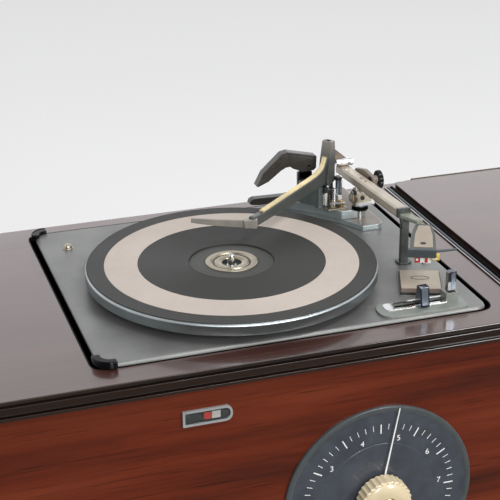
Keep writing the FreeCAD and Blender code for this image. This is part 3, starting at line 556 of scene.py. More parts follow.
def fluted(radius, depth, count, low, high, edge=0.4):
    """A grip with rounded flutes round it."""
    steps = count * 6
    outline = []
    for step in range(steps):
        turn = 2 * math.pi * step / steps
        reach = radius - depth * (0.5 - 0.5 * math.cos(count * turn)) ** 2
        outline.append((reach * math.cos(turn), reach * math.sin(turn)))
    return prism(outline, low, high, edge, segments=1)


def spin(axis, degrees):
    return Matrix.Rotation(math.radians(degrees), 4, axis)


# Turns for a form made standing on its end or lying flat.
LAY = {"x": spin("Y", 90), "y": spin("X", -90)}
UPRIGHT = spin("X", 90)
SIDEWAYS = spin("Z", 90) @ UPRIGHT


def put(form, at=(0, 0, 0), turn=None):
    """A form turned and then moved, in millimetres."""
    matrix = Matrix.Translation(at) @ (turn or Matrix.Identity(4))
    bmesh.ops.transform(form, matrix=matrix, verts=form.verts[:])
    return form


def slotted_screw(radius, height):
    """A cheese-head screw: two half-moons over a washer face."""
    half = [(radius * math.cos(t), radius * math.sin(t)) for t in
            (math.radians(20 + 140 * k / 10) for k in range(11))]
    other = [(-x, -y) for x, y in half]
    form = rod(radius * 0.96, height * 0.45, 0.05, 24)
    for outline in (half, other):
        join(form, prism(outline, height * 0.4, height, 0.12 * height, segments=2))
    return form


def join(form, other):
    """Add one form to another, which is used up."""
    mesh = bpy.data.meshes.new("joined")
    other.to_mesh(mesh)
    other.free()
    form.from_mesh(mesh)
    bpy.data.meshes.remove(mesh)
    return form


def carried(forms, turn):
    """The same (form, look) pairs, turned and moved together."""
    return [(put(form, turn=turn), look) for form, look in forms]


def alike(look, forms):
    """(form, look) pairs that share one look."""
    return [(form, look) for form in forms]


def make(name, body, forms, replaced, sharp=32):
    """One piece from (form, look) pairs given in millimetres from the deck datum."""
    whole = bmesh.new()
    looks = []
    for form, look in forms:
        if look not in looks:
            looks.append(look)
        for face in form.faces:
            face.material_index = looks.index(look)
        join(whole, form)
    to_row = Matrix.Translation(DATUM) @ Matrix.Scale(MM, 4)
    bmesh.ops.transform(whole, matrix=to_row, verts=whole.verts[:])
    mesh = bpy.data.meshes.new(name)
    whole.to_mesh(mesh)
    whole.free()
    for look in looks:
        mesh.materials.append(MATERIALS[look])
    smooth_faces(mesh, sharp)
    piece = stand(name, mesh)
    weigh_normals(piece)
    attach(piece, body)
    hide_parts(replaced)
    return piece


# ---------------------------------------------------------------- cabinet

REAR_RAIL_Y = 164.0


def cabinet_top():
    """The top board, with an opening for the deck and one for the record well."""
    (left, front, low), (right, back, _) = limits("top_panel")
    deck_low, deck_high = limits("deck_gasket")
    well_low, well_high = limits("record_well")
    wall = 6.0
    well_hole = rectangle((well_low.x + wall, well_high.x - wall),
                          (well_low.y + wall, REAR_RAIL_Y - 0.01))
    gauge = -18.0
    corner = SEAL_CORNER
    field = [(left, front, 0), (right, front, 0), (right, REAR_RAIL_Y, 0),
             (well_hole[1][0], REAR_RAIL_Y, 0), (*well_hole[1], 0), (*well_hole[0], 0),
             (well_hole[0][0], REAR_RAIL_Y, 0), (deck_high.x, REAR_RAIL_Y, 0),
             (deck_high.x, deck_low.y, corner), (deck_low.x, deck_low.y, corner),
             (deck_low.x, REAR_RAIL_Y, 0), (left, REAR_RAIL_Y, 0)]
    rail = [(left, back, 0), (left, REAR_RAIL_Y, 0), (deck_low.x, REAR_RAIL_Y, 0),
            (deck_low.x, deck_high.y, corner), (deck_high.x, deck_high.y, corner),
            (deck_high.x, REAR_RAIL_Y, 0), (well_hole[0][0], REAR_RAIL_Y, 0),
            (well_hole[0][0], well_high.y - wall, 0),
            (well_hole[1][0], well_high.y - wall, 0), (well_hole[1][0], REAR_RAIL_Y, 0),
            (right, REAR_RAIL_Y, 0), (right, back, 0)]
    make("cabinet_top", "cabinet",
         [(prism(bent(field, 0, 8), gauge, 0, 0.25), "mahogany_top"),
          (prism(bent(rail, 0, 8), gauge, -0.02, 0.25), "mahogany_top"),
          (block((deck_low.x - 12, deck_low.x + 16), (deck_low.y, deck_high.y),
                 (low, gauge)), "plywood"),
          (block((deck_high.x - 16, deck_high.x + 12), (deck_low.y, deck_high.y),
                 (low, gauge)), "plywood")],
         "top_panel")


MOULDING_DEPTH = 13.5


def reeds():
    """The moulding's section, as (depth, height): a nose and two beads with quirks."""
    return [(0.0, -0.02)] + bent([
        (9.0, -0.02, 0), (MOULDING_DEPTH, -0.02, 1.3), (MOULDING_DEPTH, -3.6, 1.2),
        (8.4, -3.9, 0.3), (8.0, -6.3, 0.3), (MOULDING_DEPTH, -6.3, 0.9),
        (MOULDING_DEPTH, -14.0, 1.2), (7.9, -14.3, 0.3),
        (7.6, -16.8, 0.3), (13.0, -16.8, 0.9), (13.0, -20.0, 0.8), (10.0, -20.0, 0)],
        0.4, 5, closed=False) + [(0.0, -20.0)]


def moulding():
    """The reeded edge under the top, mitred round three sides."""
    low, high = limits("top_moulding")
    left, right = low.x + MOULDING_DEPTH, high.x - MOULDING_DEPTH
    front = low.y + MOULDING_DEPTH
    form = bmesh.new()
    rows = []
    for out, height in reeds():
        rows.append([form.verts.new(point) for point in (
            (left - out, high.y, height), (left - out, front - out, height),
            (right + out, front - out, height), (right + out, high.y, height))])
    bridge(form, rows + rows[:1], closed=False)
    for end in (0, 3):
        form.faces.new([row[end] for row in rows])
    outward(form)
    lap = 12.2
    cap = [(left - lap, high.y), (left - lap, front - lap), (right + lap, front - lap),
           (right + lap, high.y), (right - 0.01, high.y), (right - 0.01, front + 0.01),
           (left + 0.01, front + 0.01), (left + 0.01, high.y)]
    make("reeded_moulding", "cabinet",
         [(form, "dark_moulding"), (prism(cap, -0.8, 0.01, 0.1), "mahogany_top")],
         "top_moulding", sharp=50)


def record_lid():
    """A board with a veneered top, and the ribbed strip that it closes against."""
    low, high = limits("record_lid")
    veneer = high.z - 1.2

    def sheet_of(inset, bottom, top, edge):
        return prism(shrunk(low, high, 5.0, inset, 6), bottom, top, edge)

    make("lid_board", "lid",
         # The board's body under the veneer takes the near-black moulding finish: its sides
         # are painted shade.
         [(sheet_of(0.5, low.z, veneer, 0.3), "dark_moulding"),
          (sheet_of(0.0, veneer, high.z, 0.5), "mahogany_top")],
         "record_lid")
    low, high = limits("lid_trim_strip")
    run = (low.y, high.y)
    make("lid_strip", "cabinet",
         [(block((low.x, high.x), run, (0, 1.0), 0.2), "black_trim"),
          # The thin bright steel line paints the highlight along the edge.
          (block((low.x + 0.2, low.x + 1.3), run, (0.9, 1.9), 0.3), "bright_steel"),
          (block((low.x + 3.4, low.x + 5.8), run, (0.9, 1.8), 0.5), "slate"),
          # The black rubber strip beside the lid paints the shade in the gap.
          (block((low.x + 7.4, high.x - 0.3), run, (0.9, 2.2), 0.5), "black_rubber")],
         "lid_trim_strip")


# ---------------------------------------------------------------- deck

PANEL = Matrix.Translation((174.9, -74.4, 4)) @ spin("Z", -21.5)
LEVER_SLOT = ((127, 180), (-121, -112))
PLATE_CORNER = 13.0
SEAL_CORNER = 16.0


def shrunk(low, high, corner, inset=0.0, steps=8):
    """The rounded outline of a box seen from above, drawn in by an inset."""
    return rounded((low.x + inset, high.x - inset), (low.y + inset, high.y - inset),
                   corner - inset, steps)


def deck_plate():
    """A pressed steel plate with a rolled edge, and the slot for the lever."""
    low, high = limits("deck_plate")
    roll = 3.6
    form = bmesh.new()
    levels = [(0.0, low.z)] + [(roll * (1 - math.cos(t)), high.z - roll
                                + roll * math.sin(t)) for t in
                               (math.radians(15 * k) for k in range(7))]
    rings = [ring(form, shrunk(low, high, PLATE_CORNER, inset), height)
             for inset, height in levels]
    bridge(form, rings)
    edges = loop_edges(form, ring(form, rounded(*LEVER_SLOT, 1.5), high.z))
    rim = rings[-1]
    edges += [form.edges.get((rim[k], rim[(k + 1) % len(rim)])) for k in range(len(rim))]
    bmesh.ops.triangle_fill(form, use_beauty=True, edges=edges)
    form.faces.new(rings[0])
    outward(form)
    pad = put(prism(rounded((-22.6, 24), (-28, 38), 2.0), -0.2, 0.8, 0.4), turn=PANEL)
    ramp = prism(bent([(100, -104, 6), (127, -96, 4), (150, -104, 3), (150, -108, 3),
                       (112, -109, 3)], 3), 3.8, 4.7, 0.4)
    make("pressed_deck_plate", "cabinet",
         alike("deck_paint", (form, pad, ramp)), "deck_plate")


def deck_seal():
    """The rubber lip between the plate and the wood."""
    low, high = limits("deck_gasket")
    plate_low, plate_high = limits("deck_plate")
    outer = shrunk(low, high, SEAL_CORNER)
    inner = shrunk(plate_low, plate_high, PLATE_CORNER, -0.05)
    lip = rounded((low.x - 1, high.x + 1.4), (low.y - 0.2, high.y + 1), SEAL_CORNER + 1, 8)
    make("deck_seal_lip", "cabinet",
         [(prism(outer, low.z, high.z, 0.25, holes=[inner[::-1]]), "black_rubber"),
          (prism(lip, 0.02, high.z, 0.2, holes=[inner[::-1]]), "black_rubber")],
         "deck_gasket")


def corner_clips():
    """Moulded bumpers that wrap the plate's two left corners."""
    low, high = limits("deck_plate")
    bend = PLATE_CORNER
    forms = []
    for corner_y, inward, run in ((low.y, 1, 3.5), (high.y, -1, 1.0)):
        centre = Vector((low.x + bend, corner_y + inward * bend))
        turns = [math.radians(180 + inward * 10 * k) for k in range(10)]

        def arc(radius, steps):
            return [centre + radius * Vector((math.cos(t), math.sin(t))) for t in steps]

        outer = ([Vector((low.x - 4.4, centre.y + inward * run))] + arc(bend + 4.4, turns)
                 + [Vector((centre.x + run, corner_y - inward * 4.4))])
        inner = ([Vector((centre.x + run, corner_y + inward * 4.2))]
                 + arc(bend - 4.2, turns[::-1])
                 + [Vector((low.x + 4.2, centre.y + inward * run))])
        forms.append((prism(outer + inner, 0.4, 8.0, 1.7, segments=4), "black_trim"))
        lip = arc(bend + 4.4, turns) + arc(bend + 2.6, turns[::-1])
        forms.append((prism(lip, 7.2, 8.6, 0.5), "black_trim"))
    make("corner_clips", "cabinet", forms, "corner_guards")


def turntable():
    """The cast platter, its rubber mat, the centre disc and the fixed spindle."""
    make("platter_casting", "platter",
         # The black ring at the bottom of the centre recess is painted shade.
         [(turned([(5.1, 20.4), (9.9, 20.4), (9.9, 20.8), (5.1, 20.8)], 64, closed=True),
           "black_paint"),
          (turned([(5.0, 9), (16, 9), (16, 20.5), (145, 20.5), (145, 14.2), (145.6, 13.7),
                   (147.0, 13.7), (147.6, 14.1), (147.8, 14.8), (147.8, 22.6),
                   (147.5, 23.7), (146.9, 24.7), (146.4, 25.2), (146.2, 25.0),
                   (146.15, 23.5), (10, 23.5), (10, 20.5), (5.0, 20.5)], 192,
                  closed=True), "aluminium")], "platter", sharp=40)

    def ribbed(inner, outer, height, ribs, depth, ease_out=0.3):
        """A flat ring of the mat, with fine concentric ribs on it."""
        top = [(inner, height - 0.3), (inner + 0.3, height)]
        pitch = (outer - inner - 2 * ease_out) / ribs
        for rib in range(ribs):
            start = inner + ease_out + rib * pitch
            top += [(start + 0.10 * pitch, height - depth), (start + 0.35 * pitch, height),
                    (start + 0.75 * pitch, height), (start + 0.95 * pitch,
                                                     height - depth)]
        top += [(outer - ease_out, height), (outer, height - ease_out)]
        return turned(top + [(outer, 23.5), (inner, 23.5)], 160, closed=True)

    make("rubber_mat", "platter",
         [(ribbed(26.8, 43.0, 24.4, 3, 0.15), "mat_centre"),
          (ribbed(43.0, 94.9, 25.95, 32, 0.22), "mat_rubber"),
          (ribbed(94.9, 128.7, 26.0, 4, 0.08), "mat_ring"),
          (ribbed(128.7, 146.0, 25.95, 5, 0.16, 0.7), "mat_rubber")],
         "platter_mat", sharp=60)
    make("centre_disc", "platter",
         [(turned(bent([(10, 22.6, 0), (26.6, 23.5, 0), (26.6, 24.9), (25.6, 25.5),
                        (21.4, 25.3), (20.4, 23.9), (19.2, 23.6), (17.9, 23.6),
                        (17.2, 24.4), (16.0, 24.9), (12.8, 24.7), (11.4, 24.2),
                        (10.4, 24.0), (10, 23.6)], 0.35, 3), 96, closed=True), "nickel"),
          # The black ring at the bottom of the groove is painted shade.
          (turned([(17.9, 23.5), (20.3, 23.5), (20.3, 23.75), (17.9, 23.75)], 96,
                  closed=True), "black_paint")],
         "centre_adapter", sharp=55)
    foot = limits("turntable_spindle")[0].z
    make("record_spindle", "cabinet",
         [(turned([(0, foot), (9, foot), (9, 4), (18, 4), (18, 6), (8, 8.6), (4.95, 8.6),
                   (4.95, 21.1), (3.5, 21.1), (3.5, 30.4), (3.3, 31.4), (2.7, 32.2),
                   (1.8, 32.8), (0, 33.0)], 48), "bright_steel")],
         "turntable_spindle")


def deck_fixings():
    """Domed nuts over washers."""
    forms = []
    for x, y in ((-141, 136), (206, -20), (60, 176)):
        forms.append((put(turned(bent([(0, 0, 0), (5.4, 0, 0), (5.4, 0.9), (4.6, 1.1),
                                       (4.5, 2.4), (3.9, 4.0), (2.2, 5.2), (0, 5.5, 0)],
                                      0.4, 3, closed=False), 40), (x, y, 4)), "nickel"))
    make("dome_nuts", "cabinet", forms, "deck_screws", sharp=45)


# ---------------------------------------------------------------- changer mechanism

ARM_PLANE = Matrix.Translation((151.2, 126, 0)) @ spin("Z", 219.3)


def beyond(radius, x_span, y_span, corners):
    """A rectangle whose near corner is cut away by a circle about the spindle."""
    (left, right), (front, back) = x_span, y_span
    start = math.atan2(front, math.sqrt(radius ** 2 - front ** 2))
    end = math.atan2(math.sqrt(radius ** 2 - left ** 2), left)
    arc = [(radius * math.cos(t), radius * math.sin(t), 0) for t in
           (end + (start - end) * k / 14 for k in range(15))]
    straight = [(right, front, corners[0]), (right, back, corners[1]),
                (left, back, corners[2])]
    return bent(arc + straight, 0, 6)


def tonearm_base():
    """The stepped casting, and the trip levers, springs and tubes on it."""
    make("changer_casting", "cabinet",
         # The bluish colour of the step sides is a painted reflection; thin brown plates cover
         # the tops.
         [(prism(beyond(190, (100, 200), (75, 178), (9, 8, 5)), 4, 10.3, 1.0),
           "cast_step"),
          (prism(beyond(191.2, (101.2, 198.8), (76.2, 176.8), (8, 7, 4)), 10.0, 10.5, 0.2),
           "step_top"),
          (prism(beyond(187, (104, 190), (99, 172), (8, 8, 5)), 10.4, 20.8, 1.2),
           "cast_step"),
          (prism(beyond(188.6, (105.6, 188.4), (100.6, 170.4), (6, 6, 4)), 20.5, 21.0,
                 0.2), "step_top"),
          (prism(beyond(185, (125, 137.6), (116, 146), (1, 1, 2)), 20.8, 46, 1.0),
           "cast_paint"),
          (block((137.4, 139.6), (123.5, 130), (20.8, 46), 0.5), "cast_step"),
          (block((139.2, 162), (133.5, 136), (20.9, 49), 0.5), "black_paint"),
          (block((139.4, 158), (121.5, 134), (20.9, 21.5), 0.2), "black_paint"),
          (block((139.4, 146), (128, 134), (21, 49), 0.5), "black_paint"),
          (put(rod(8, 20, 0.8), (151.2, 126, 21)), "black_paint"),
          (put(turned([(3.2, 4), (7.6, 4), (8.0, 4.6), (8.0, 6.6), (7.0, 7.8),
                       (3.2, 8)], 40, closed=True), (181, 100, 21)), "blue_steel"),
          (put(turned([(3.2, 0), (8.6, 0), (9.2, 1.0), (8.8, 3.4), (7.8, 4.1),
                       (3.2, 4.1)], 40, closed=True), (181, 100, 20.9)),
           "black_rubber")],
         "tonearm_base")
    spring = put(coil(2.6, 0.45, 20, 9), (157, 116, 22))
    make("trip_levers", "cabinet",
         [(block((125, 142), (147, 152), (21, 54), 0.8), "black_paint"),
          (put(prism(bent([(127, 47), (140, 47), (140, 69), (133, 73), (127, 69)], 3), 0,
                     4, 0.4), (0, 151, 0), UPRIGHT), "black_paint"),
          (put(rod(2, 14.5), (133, 134, 65), LAY["y"]), "chrome"),
          (put(rod(2, 11), (112, 150, 21)), "chrome"),
          (put(prism(rounded((144, 168), (104, 112), 2), 21, 22.6, 0.3)),
           "nickel"),
          (put(prism(bent([(146, 107), (160, 106), (166, 104), (167, 108), (160, 111),
                           (147, 110)], 1.2), 27, 28.6, 0.3)), "bright_steel"),
          (put(rod(1.6, 17), (147, 108, 21)), "bakelite_grey"),
          (put(rod(2.6, 30, 0.5), (163, 122, 21)), "blue_steel"),
          (put(rod(1.4, 32, 0.3), (167.4, 124, 21)), "chrome"),
          (put(turned([(0, 0), (4, 0), (4, 3), (3.2, 3.8), (0, 3.8)], 32), (163, 122, 50)),
           "black_paint"),
          (put(rod(3.0, 9, 0.5), (162, 109, 21)), "brass"),
          (put(rod(2.2, 9, 0.4), (153, 113, 21)), "nickel"),
          (put(slotted_screw(3.2, 2.2), (166, 116, 21)), "brass"),
          (block((160, 164.5), (112, 116), (22, 34), 0.8), "nylon"),
          (block((146, 149), (117, 121), (22, 38), 0.7), "nylon"),
          (put(coil(3.4, 0.5, 14, 7), (145, 121, 22)), "bright_steel"),
          (block((142.6, 147), (110, 126), (40, 46), 0.6), "black_paint"),
          (spring, "chrome")],
         "changer_brackets")


def overarm():
    """The arm that reaches over the records, with its inlaid strip and its foot."""
    rise = smooth([(136, 57.2), (79, 59.6), (37, 61.4), (22, 62.8), (14, 65.6), (9, 70),
                   (5.4, 76), (2.6, 84), (0.4, 95)])
    back = smooth([(-6.4, 95), (-7.2, 86), (-7.5, 70), (-7.5, 47)], 4)
    beam = [(point.x, point.y) for point in rise + back]
    beam += [(150, 46.8), (156, 48), (157, 57.5), (155, 58.6)]
    arm = put(prism(beam, -3.4, 3.4, 1.1, segments=3), turn=ARM_PLANE @ UPRIGHT)
    shoulder = smooth([(-7.5, 47), (8.5, 47), (7.6, 60), (5.6, 72), (2.8, 84), (0.2, 95)],
                      4)
    shoulder += smooth([(-6.4, 95), (-7.2, 86), (-7.5, 70), (-7.5, 48)], 4)
    hub = put(prism([(p.x, p.y) for p in shoulder], -6.4, 6.4, 1.4, segments=3),
              turn=ARM_PLANE @ UPRIGHT)
    tip = ARM_PLANE @ Vector((156, 0, 0))
    foot_turn = Matrix.Translation(tip) @ spin("Z", 157)
    knee = put(prism(bent([(-6, 46.8), (7, 46.8), (8, 55.4), (-6, 56.6)], 1.4), -3.6, 3.6,
                     1.0), turn=foot_turn @ UPRIGHT)
    blade_line = smooth([(0, 0, 51.2), (16, 0, 51.0), (36, 0, 51.6), (52, 0, 52.6),
                         (62.5, 0, 53.4)])
    blade = put(ease(swept(blade_line, rounded((-1.7, 1.7), (-4.4, 4.4), 0.8, 3),
                           shrink=lambda t: (1 - 0.25 * t, 1 - 0.45 * t)), 0.4, 2, 60),
                turn=foot_turn)
    make("overarm_body", "overarm",
         # The knee and blade take the paler grey, a painted highlight.
         [(arm, "overarm_grey"), (hub, "overarm_grey"), (knee, "blade_grey"),
          (blade, "blade_grey")], "overarm")
    ribbed = bent([(-2.6, -0.9), (2.6, -0.9), (2.6, 1.0), (1.6, 1.5), (0.7, 1.1),
                   (0, 1.5), (-0.7, 1.1), (-1.6, 1.5), (-2.6, 1.0)], 0.25, 2)
    line = smooth([(137, 0, 58.2), (79, 0, 60.6), (37, 0, 62.4), (22.6, 0, 63.8),
                   (14.8, 0, 66.4), (10, 0, 70.6), (6.8, 0, 76.2), (6.0, 0, 78.6)])
    make("cream_strip", "overarm",
         [(put(ease(swept(line, ribbed, up=(1, 0, 1)), 0.3, 2, 60), turn=ARM_PLANE),
           "ivory_strip"),
          (put(rod(2.6, 2.2, 0.5, 28), (4.3, 0, 78.2), ARM_PLANE @ spin("Y", 76)),
           "ivory_strip")], "overarm_strip")


def clamp_and_feeler():
    """The claw that steadies the records, its faces cut flat, and the size finger."""
    jaw = prism(bent([(71.8, 47.2), (75, 47.6), (86.0, 52.1), (100.6, 63.2), (106, 66),
                      (111.2, 66.7), (114.7, 63.9), (126.7, 58.8), (139, 59.5),
                      (142.1, 62.3), (142.4, 76.0), (108.6, 84.0), (101.6, 82.5),
                      (79.7, 62.5)], 1.0, 2), 0, 11.5, 1.6, segments=2)
    crest = prism(bent([(77, 50.4), (100.8, 68), (107.6, 70.0), (138, 63.4), (138.4, 73.8),
                        (109, 81.0), (103.4, 79.8), (81.8, 61.8)], 0.8, 2), 11.2, 12.0, 0.5)
    web = prism([(111.2, 66.4), (112.4, 66.4), (110.4, 82.0), (109.2, 82.0)], 11.6, 12.5,
                0.3)
    make("record_clamp_jaw", "clamp",
         alike("bakelite_grey", [put(form, (0, 146, 0), UPRIGHT)
                                 for form in (jaw, crest, web)]),
         "record_clamp")
    finger = prism(bent([(67, 24.4), (70.6, 22.8), (80, 21.6), (102, 21.6), (105, 21.8),
                         (112, 21.8), (112, 29.2), (98.6, 29.4), (72.6, 30), (68.6, 28.4)],
                        0.9, 3), 0, 9, 1.4)
    make("feeler_finger", "feeler",
         [(put(finger, (0, 154, 0), UPRIGHT), "bakelite_grey"),
          (put(turned([(2.1, 0), (5, 0), (5, 7), (4.6, 7.4), (2.1, 7.4)], 32, closed=True),
               (112, 150, 21.8)), "bakelite_grey")], "size_feeler")


TUBE_RISE = 3.3


def tonearm():
    """The bearing yoke, the arm, its counterweight and its balance knob."""
    cheek = bent([(-8, 36), (12, 36), (12.6, 39), (1.5, 51), (-4.5, 51), (-9, 42)], 1.6, 4)
    forms = [(put(prism(cheek, 0, 2, 0.35), (across, 90, 0), SIDEWAYS), "nickel")
             for across in (169.5, 190.5)]
    forms += [(put(rod(3, 30), (181, 100, 5)), "chrome"),
              (block((169.8, 192.2), (84.2, 107), (30, 37), 0.9), "bright_steel"),
              (put(rod(1.5, 27), (167.5, 90, 45), LAY["x"]), "chrome"),
              (put(slotted_screw(3.0, 1.8), (169.5, 90, 45), spin("Y", -90)), "black_paint"),
              (put(prism(bent([(169.6, 35), (187.5, 35), (187.5, 38.4), (171, 49.6),
                               (169.6, 49)], 0.9), 0, 1.4, 0.3), (0, 84.2, 0), UPRIGHT),
               "nickel"),
              (put(slotted_screw(2.6, 1.4), (176.4, 82.9, 40.6), UPRIGHT), "black_paint")]
    make("bearing_yoke", "yoke", forms, "tonearm_yoke")

    slope = Matrix.Translation((181, 155, 50)) @ spin("X", -TUBE_RISE)
    crown = bent([(-7, -4.5), (7, -4.5), (7, 2.9), (4.8, 4.5), (-4.8, 4.5), (-7, 2.9)],
                 0.8, 3)
    bar = put(prism([(x, y) for x, y in crown], 0, 171.5, 0.6), turn=slope @ UPRIGHT)
    channel = put(block((-5.4, 5.4), (-166, -4), (-6.2, -4.2), 0.3), turn=slope)
    neck = put(prism(bent([(-5.5, 4), (5.5, 4), (4.2, -24), (-4.2, -24)], 1.5), 0, 4.4,
                     0.9), (181, -16.5, 54.6), spin("Z", 20))
    tail = put(prism(bent([(-7, -5), (7, -5), (7, 10), (-9, 24), (-14, 24), (-14, 8),
                           (-7, 4)], 1.5), 0, 2, 0.4), (181, 156, 50), UPRIGHT)
    lug = block((176, 186), (85, 95), (41.2, 51), 0.6)
    cheek = put(prism(bent([(82, 53), (112, 53), (134, 53.4), (134, 56.6), (110, 63),
                            (82, 62)], 2.0, 4), 0, 5, 0.8), (188, 0, 0), SIDEWAYS)
    collar = put(block((-7.3, 7.3), (-172.6, -168.4), (-5.2, 4.9), 0.6), turn=slope)
    forms = [(bar, "arm_paint"), (channel, "black_paint"), (neck, "neck_grey"),
             (tail, "arm_brown"), (lug, "bright_steel"), (cheek, "arm_brown"),
             (collar, "bakelite_green")]
    for along in (-58, -72):
        rivet = put(slotted_screw(1.9, 1.1), (0, along, 4.4))
        forms.append((put(rivet, turn=slope), "nickel"))
    make("tonearm_bar", "arm", forms, "tonearm_tube")
    make("balance_weight", "arm",
         [(put(turned(bent([(0, 0, 0), (3.6, 0), (4.4, 0.8), (4.4, 13.4), (4.0, 13.8),
                            (4.0, 14.6), (4.4, 15), (4.4, 19.2), (3.6, 20), (0, 20, 0)],
                           0.3, 2, closed=False), 40), (171, 149, 59.3), LAY["x"]),
           "chrome")], "counterweight")
    disc = put(fluted(10, 0.7, 30, 0, 4.6), (196, 90, 57), LAY["x"])
    face = put(turned([(0, 4.5), (6.4, 4.5), (7, 4.9), (8.4, 4.9), (8.8, 4.5)], 40),
               (196, 90, 57), LAY["x"])
    stub = put(rod(4.6, 8, 0.4), (188, 90, 57), LAY["x"])
    make("balance_dial", "balance_knob",
         [(disc, "black_trim"), (face, "chrome"), (stub, "arm_paint")],
         "balance_knob")


HEAD = Matrix.Translation((190.6, -42.6, 46.5)) @ spin("Z", -24) @ spin("X", 10.5)


def pickup_head():
    """The shell with its finger lift, and the turnover cartridge in it."""
    outline = bent([(-7.8, 2.4, 4), (9.0, 2.4, 4), (12.4, -18, 14), (13.0, -46),
                    (-13.6, -46), (-12.0, -18, 14)], 0.8, 6)
    inside = bent([(-4.8, -1.2, 3), (6.8, -1.2, 3), (9.4, -18, 14), (9.8, -41),
                   (-9.6, -41), (-8.2, -18, 14)], 0.8, 6)
    shell = put(prism(outline, 0.2, 8.8, 2.2, segments=4), turn=HEAD)
    top = put(prism(inside, 8.0, 9.5, 0.45), turn=HEAD)
    band = put(block((-15.0, 13.3), (-46.4, -42.2), (-0.4, 9.2), 0.8), turn=HEAD)
    dimple = put(turned([(0, 0.05), (1.5, 0.1), (2.1, 0.35), (2.4, 0.1), (2.4, -0.3)], 24),
                 (0, -34.5, 9.55), Matrix.Diagonal((1.3, 0.8, 1, 1)))
    lift_line = smooth([(12, -43.5, 6.6), (19, -42.6, 6.9), (27, -41.6, 7.3),
                        (33, -40.8, 8.2)])
    lift = ease(swept(lift_line, rounded((-1.3, 1.3), (-0.8, 0.8), 0.4, 2),
                      shrink=lambda t: (1.3 - 0.5 * t, 1)), 0.2, 1, 60)
    make("pickup_shell", "arm",
         [(shell, "head_side"), (top, "head_paint"), (band, "slate"),
          (put(dimple, turn=HEAD), "black_paint"), (put(lift, turn=HEAD), "slate")],
         "headshell")
    body = [(block((-7.6, 8.2), (-42.6, -24), (-9.2, 0.4), 0.8), "white_paint"),
            (block((-8.0, -2.4), (-43.2, -30), (-8.4, -1.6), 0.6), "cartridge_plastic"),
            (block((-6.8, -4.4), (-43.6, -42), (-5.6, -3.0), 0.3), "white_paint"),
            (block((2.0, 5.0), (-43.2, -36), (-8.0, -1.2), 0.5), "cartridge_plastic"),
            (block((7.4, 16.6), (-43.6, -36.5), (-4.6, -0.2), 0.7), "yellow_plastic"),
            (block((9.4, 14.4), (-44.0, -43.2), (-3.2, -1.6), 0.2), "white_paint"),
            (put(turned([(0, 0), (0.25, 0.8), (0.5, 2.4), (0.5, 3.6), (0, 3.6)], 12),
                 (0, -42.5, -10.8)), "chrome"),
            (block((-0.8, 0.8), (-43.4, -38), (-9.8, -8.6), 0.3), "black_paint")]
    make("pickup_cartridge", "arm", carried(body, HEAD),
         "cartridge")


def arm_rest():
    """The forked post that holds the arm when it is parked."""
    post = bent([(0, 0, 2), (8, 0, 2), (8, 44), (9.4, 50.6), (6.6, 50.6), (5.8, 47.4),
                 (2.2, 47.4), (1.4, 50.6), (-1.4, 50.6), (0, 44)], 0.8, 3)
    make("arm_cradle", "cabinet",
         [(put(prism(post, 0, 5.5, 0.7), (178, -14, 4), UPRIGHT), "bakelite_green"),
          (put(prism(rounded((-3.4, 11.4), (-9, 3), 2.4), 0, 2.2, 0.5),
               (178, -14, 4)), "bakelite_green")], "arm_rest")


# ---------------------------------------------------------------- controls

def control_panel():
    """The raised plate with its plain oval emblem."""
    base = put(prism(rounded((-21.3, 21.3), (-26.4, 26.4), 1.6), 0, 3.4, 0.5),
               turn=PANEL)
    plate = put(prism(rounded((-19.8, 19.8), (-19.8, 25.2), 1.0), 3.2, 5.2, 0.5),
                turn=PANEL)
    slope = bent([(-25.6, 3.2), (-19.6, 3.2), (-19.6, 4.9), (-20.4, 5.1)], 0.3)
    front = put(prism(slope, -19.8, 19.8, 0.2), turn=PANEL @ spin("Y", 90) @ spin("Z", 90))
    emblem = put(prism(ellipse(9.6, 4.4), 5.0, 5.5, 0.2, holes=[ellipse(8.4, 3.4)[::-1]]),
                 (0, 6, 0))
    field = put(prism(ellipse(8.2, 3.2), 5.0, 5.32, 0.1), (0, 6, 0))
    make("control_plate", "cabinet",
         [(base, "bakelite"), (plate, "beige_plate"), (front, "brown_enamel"),
          (put(emblem, turn=PANEL), "brown_enamel"),
          (put(field, turn=PANEL), "beige_plate")],
         "control_panel")


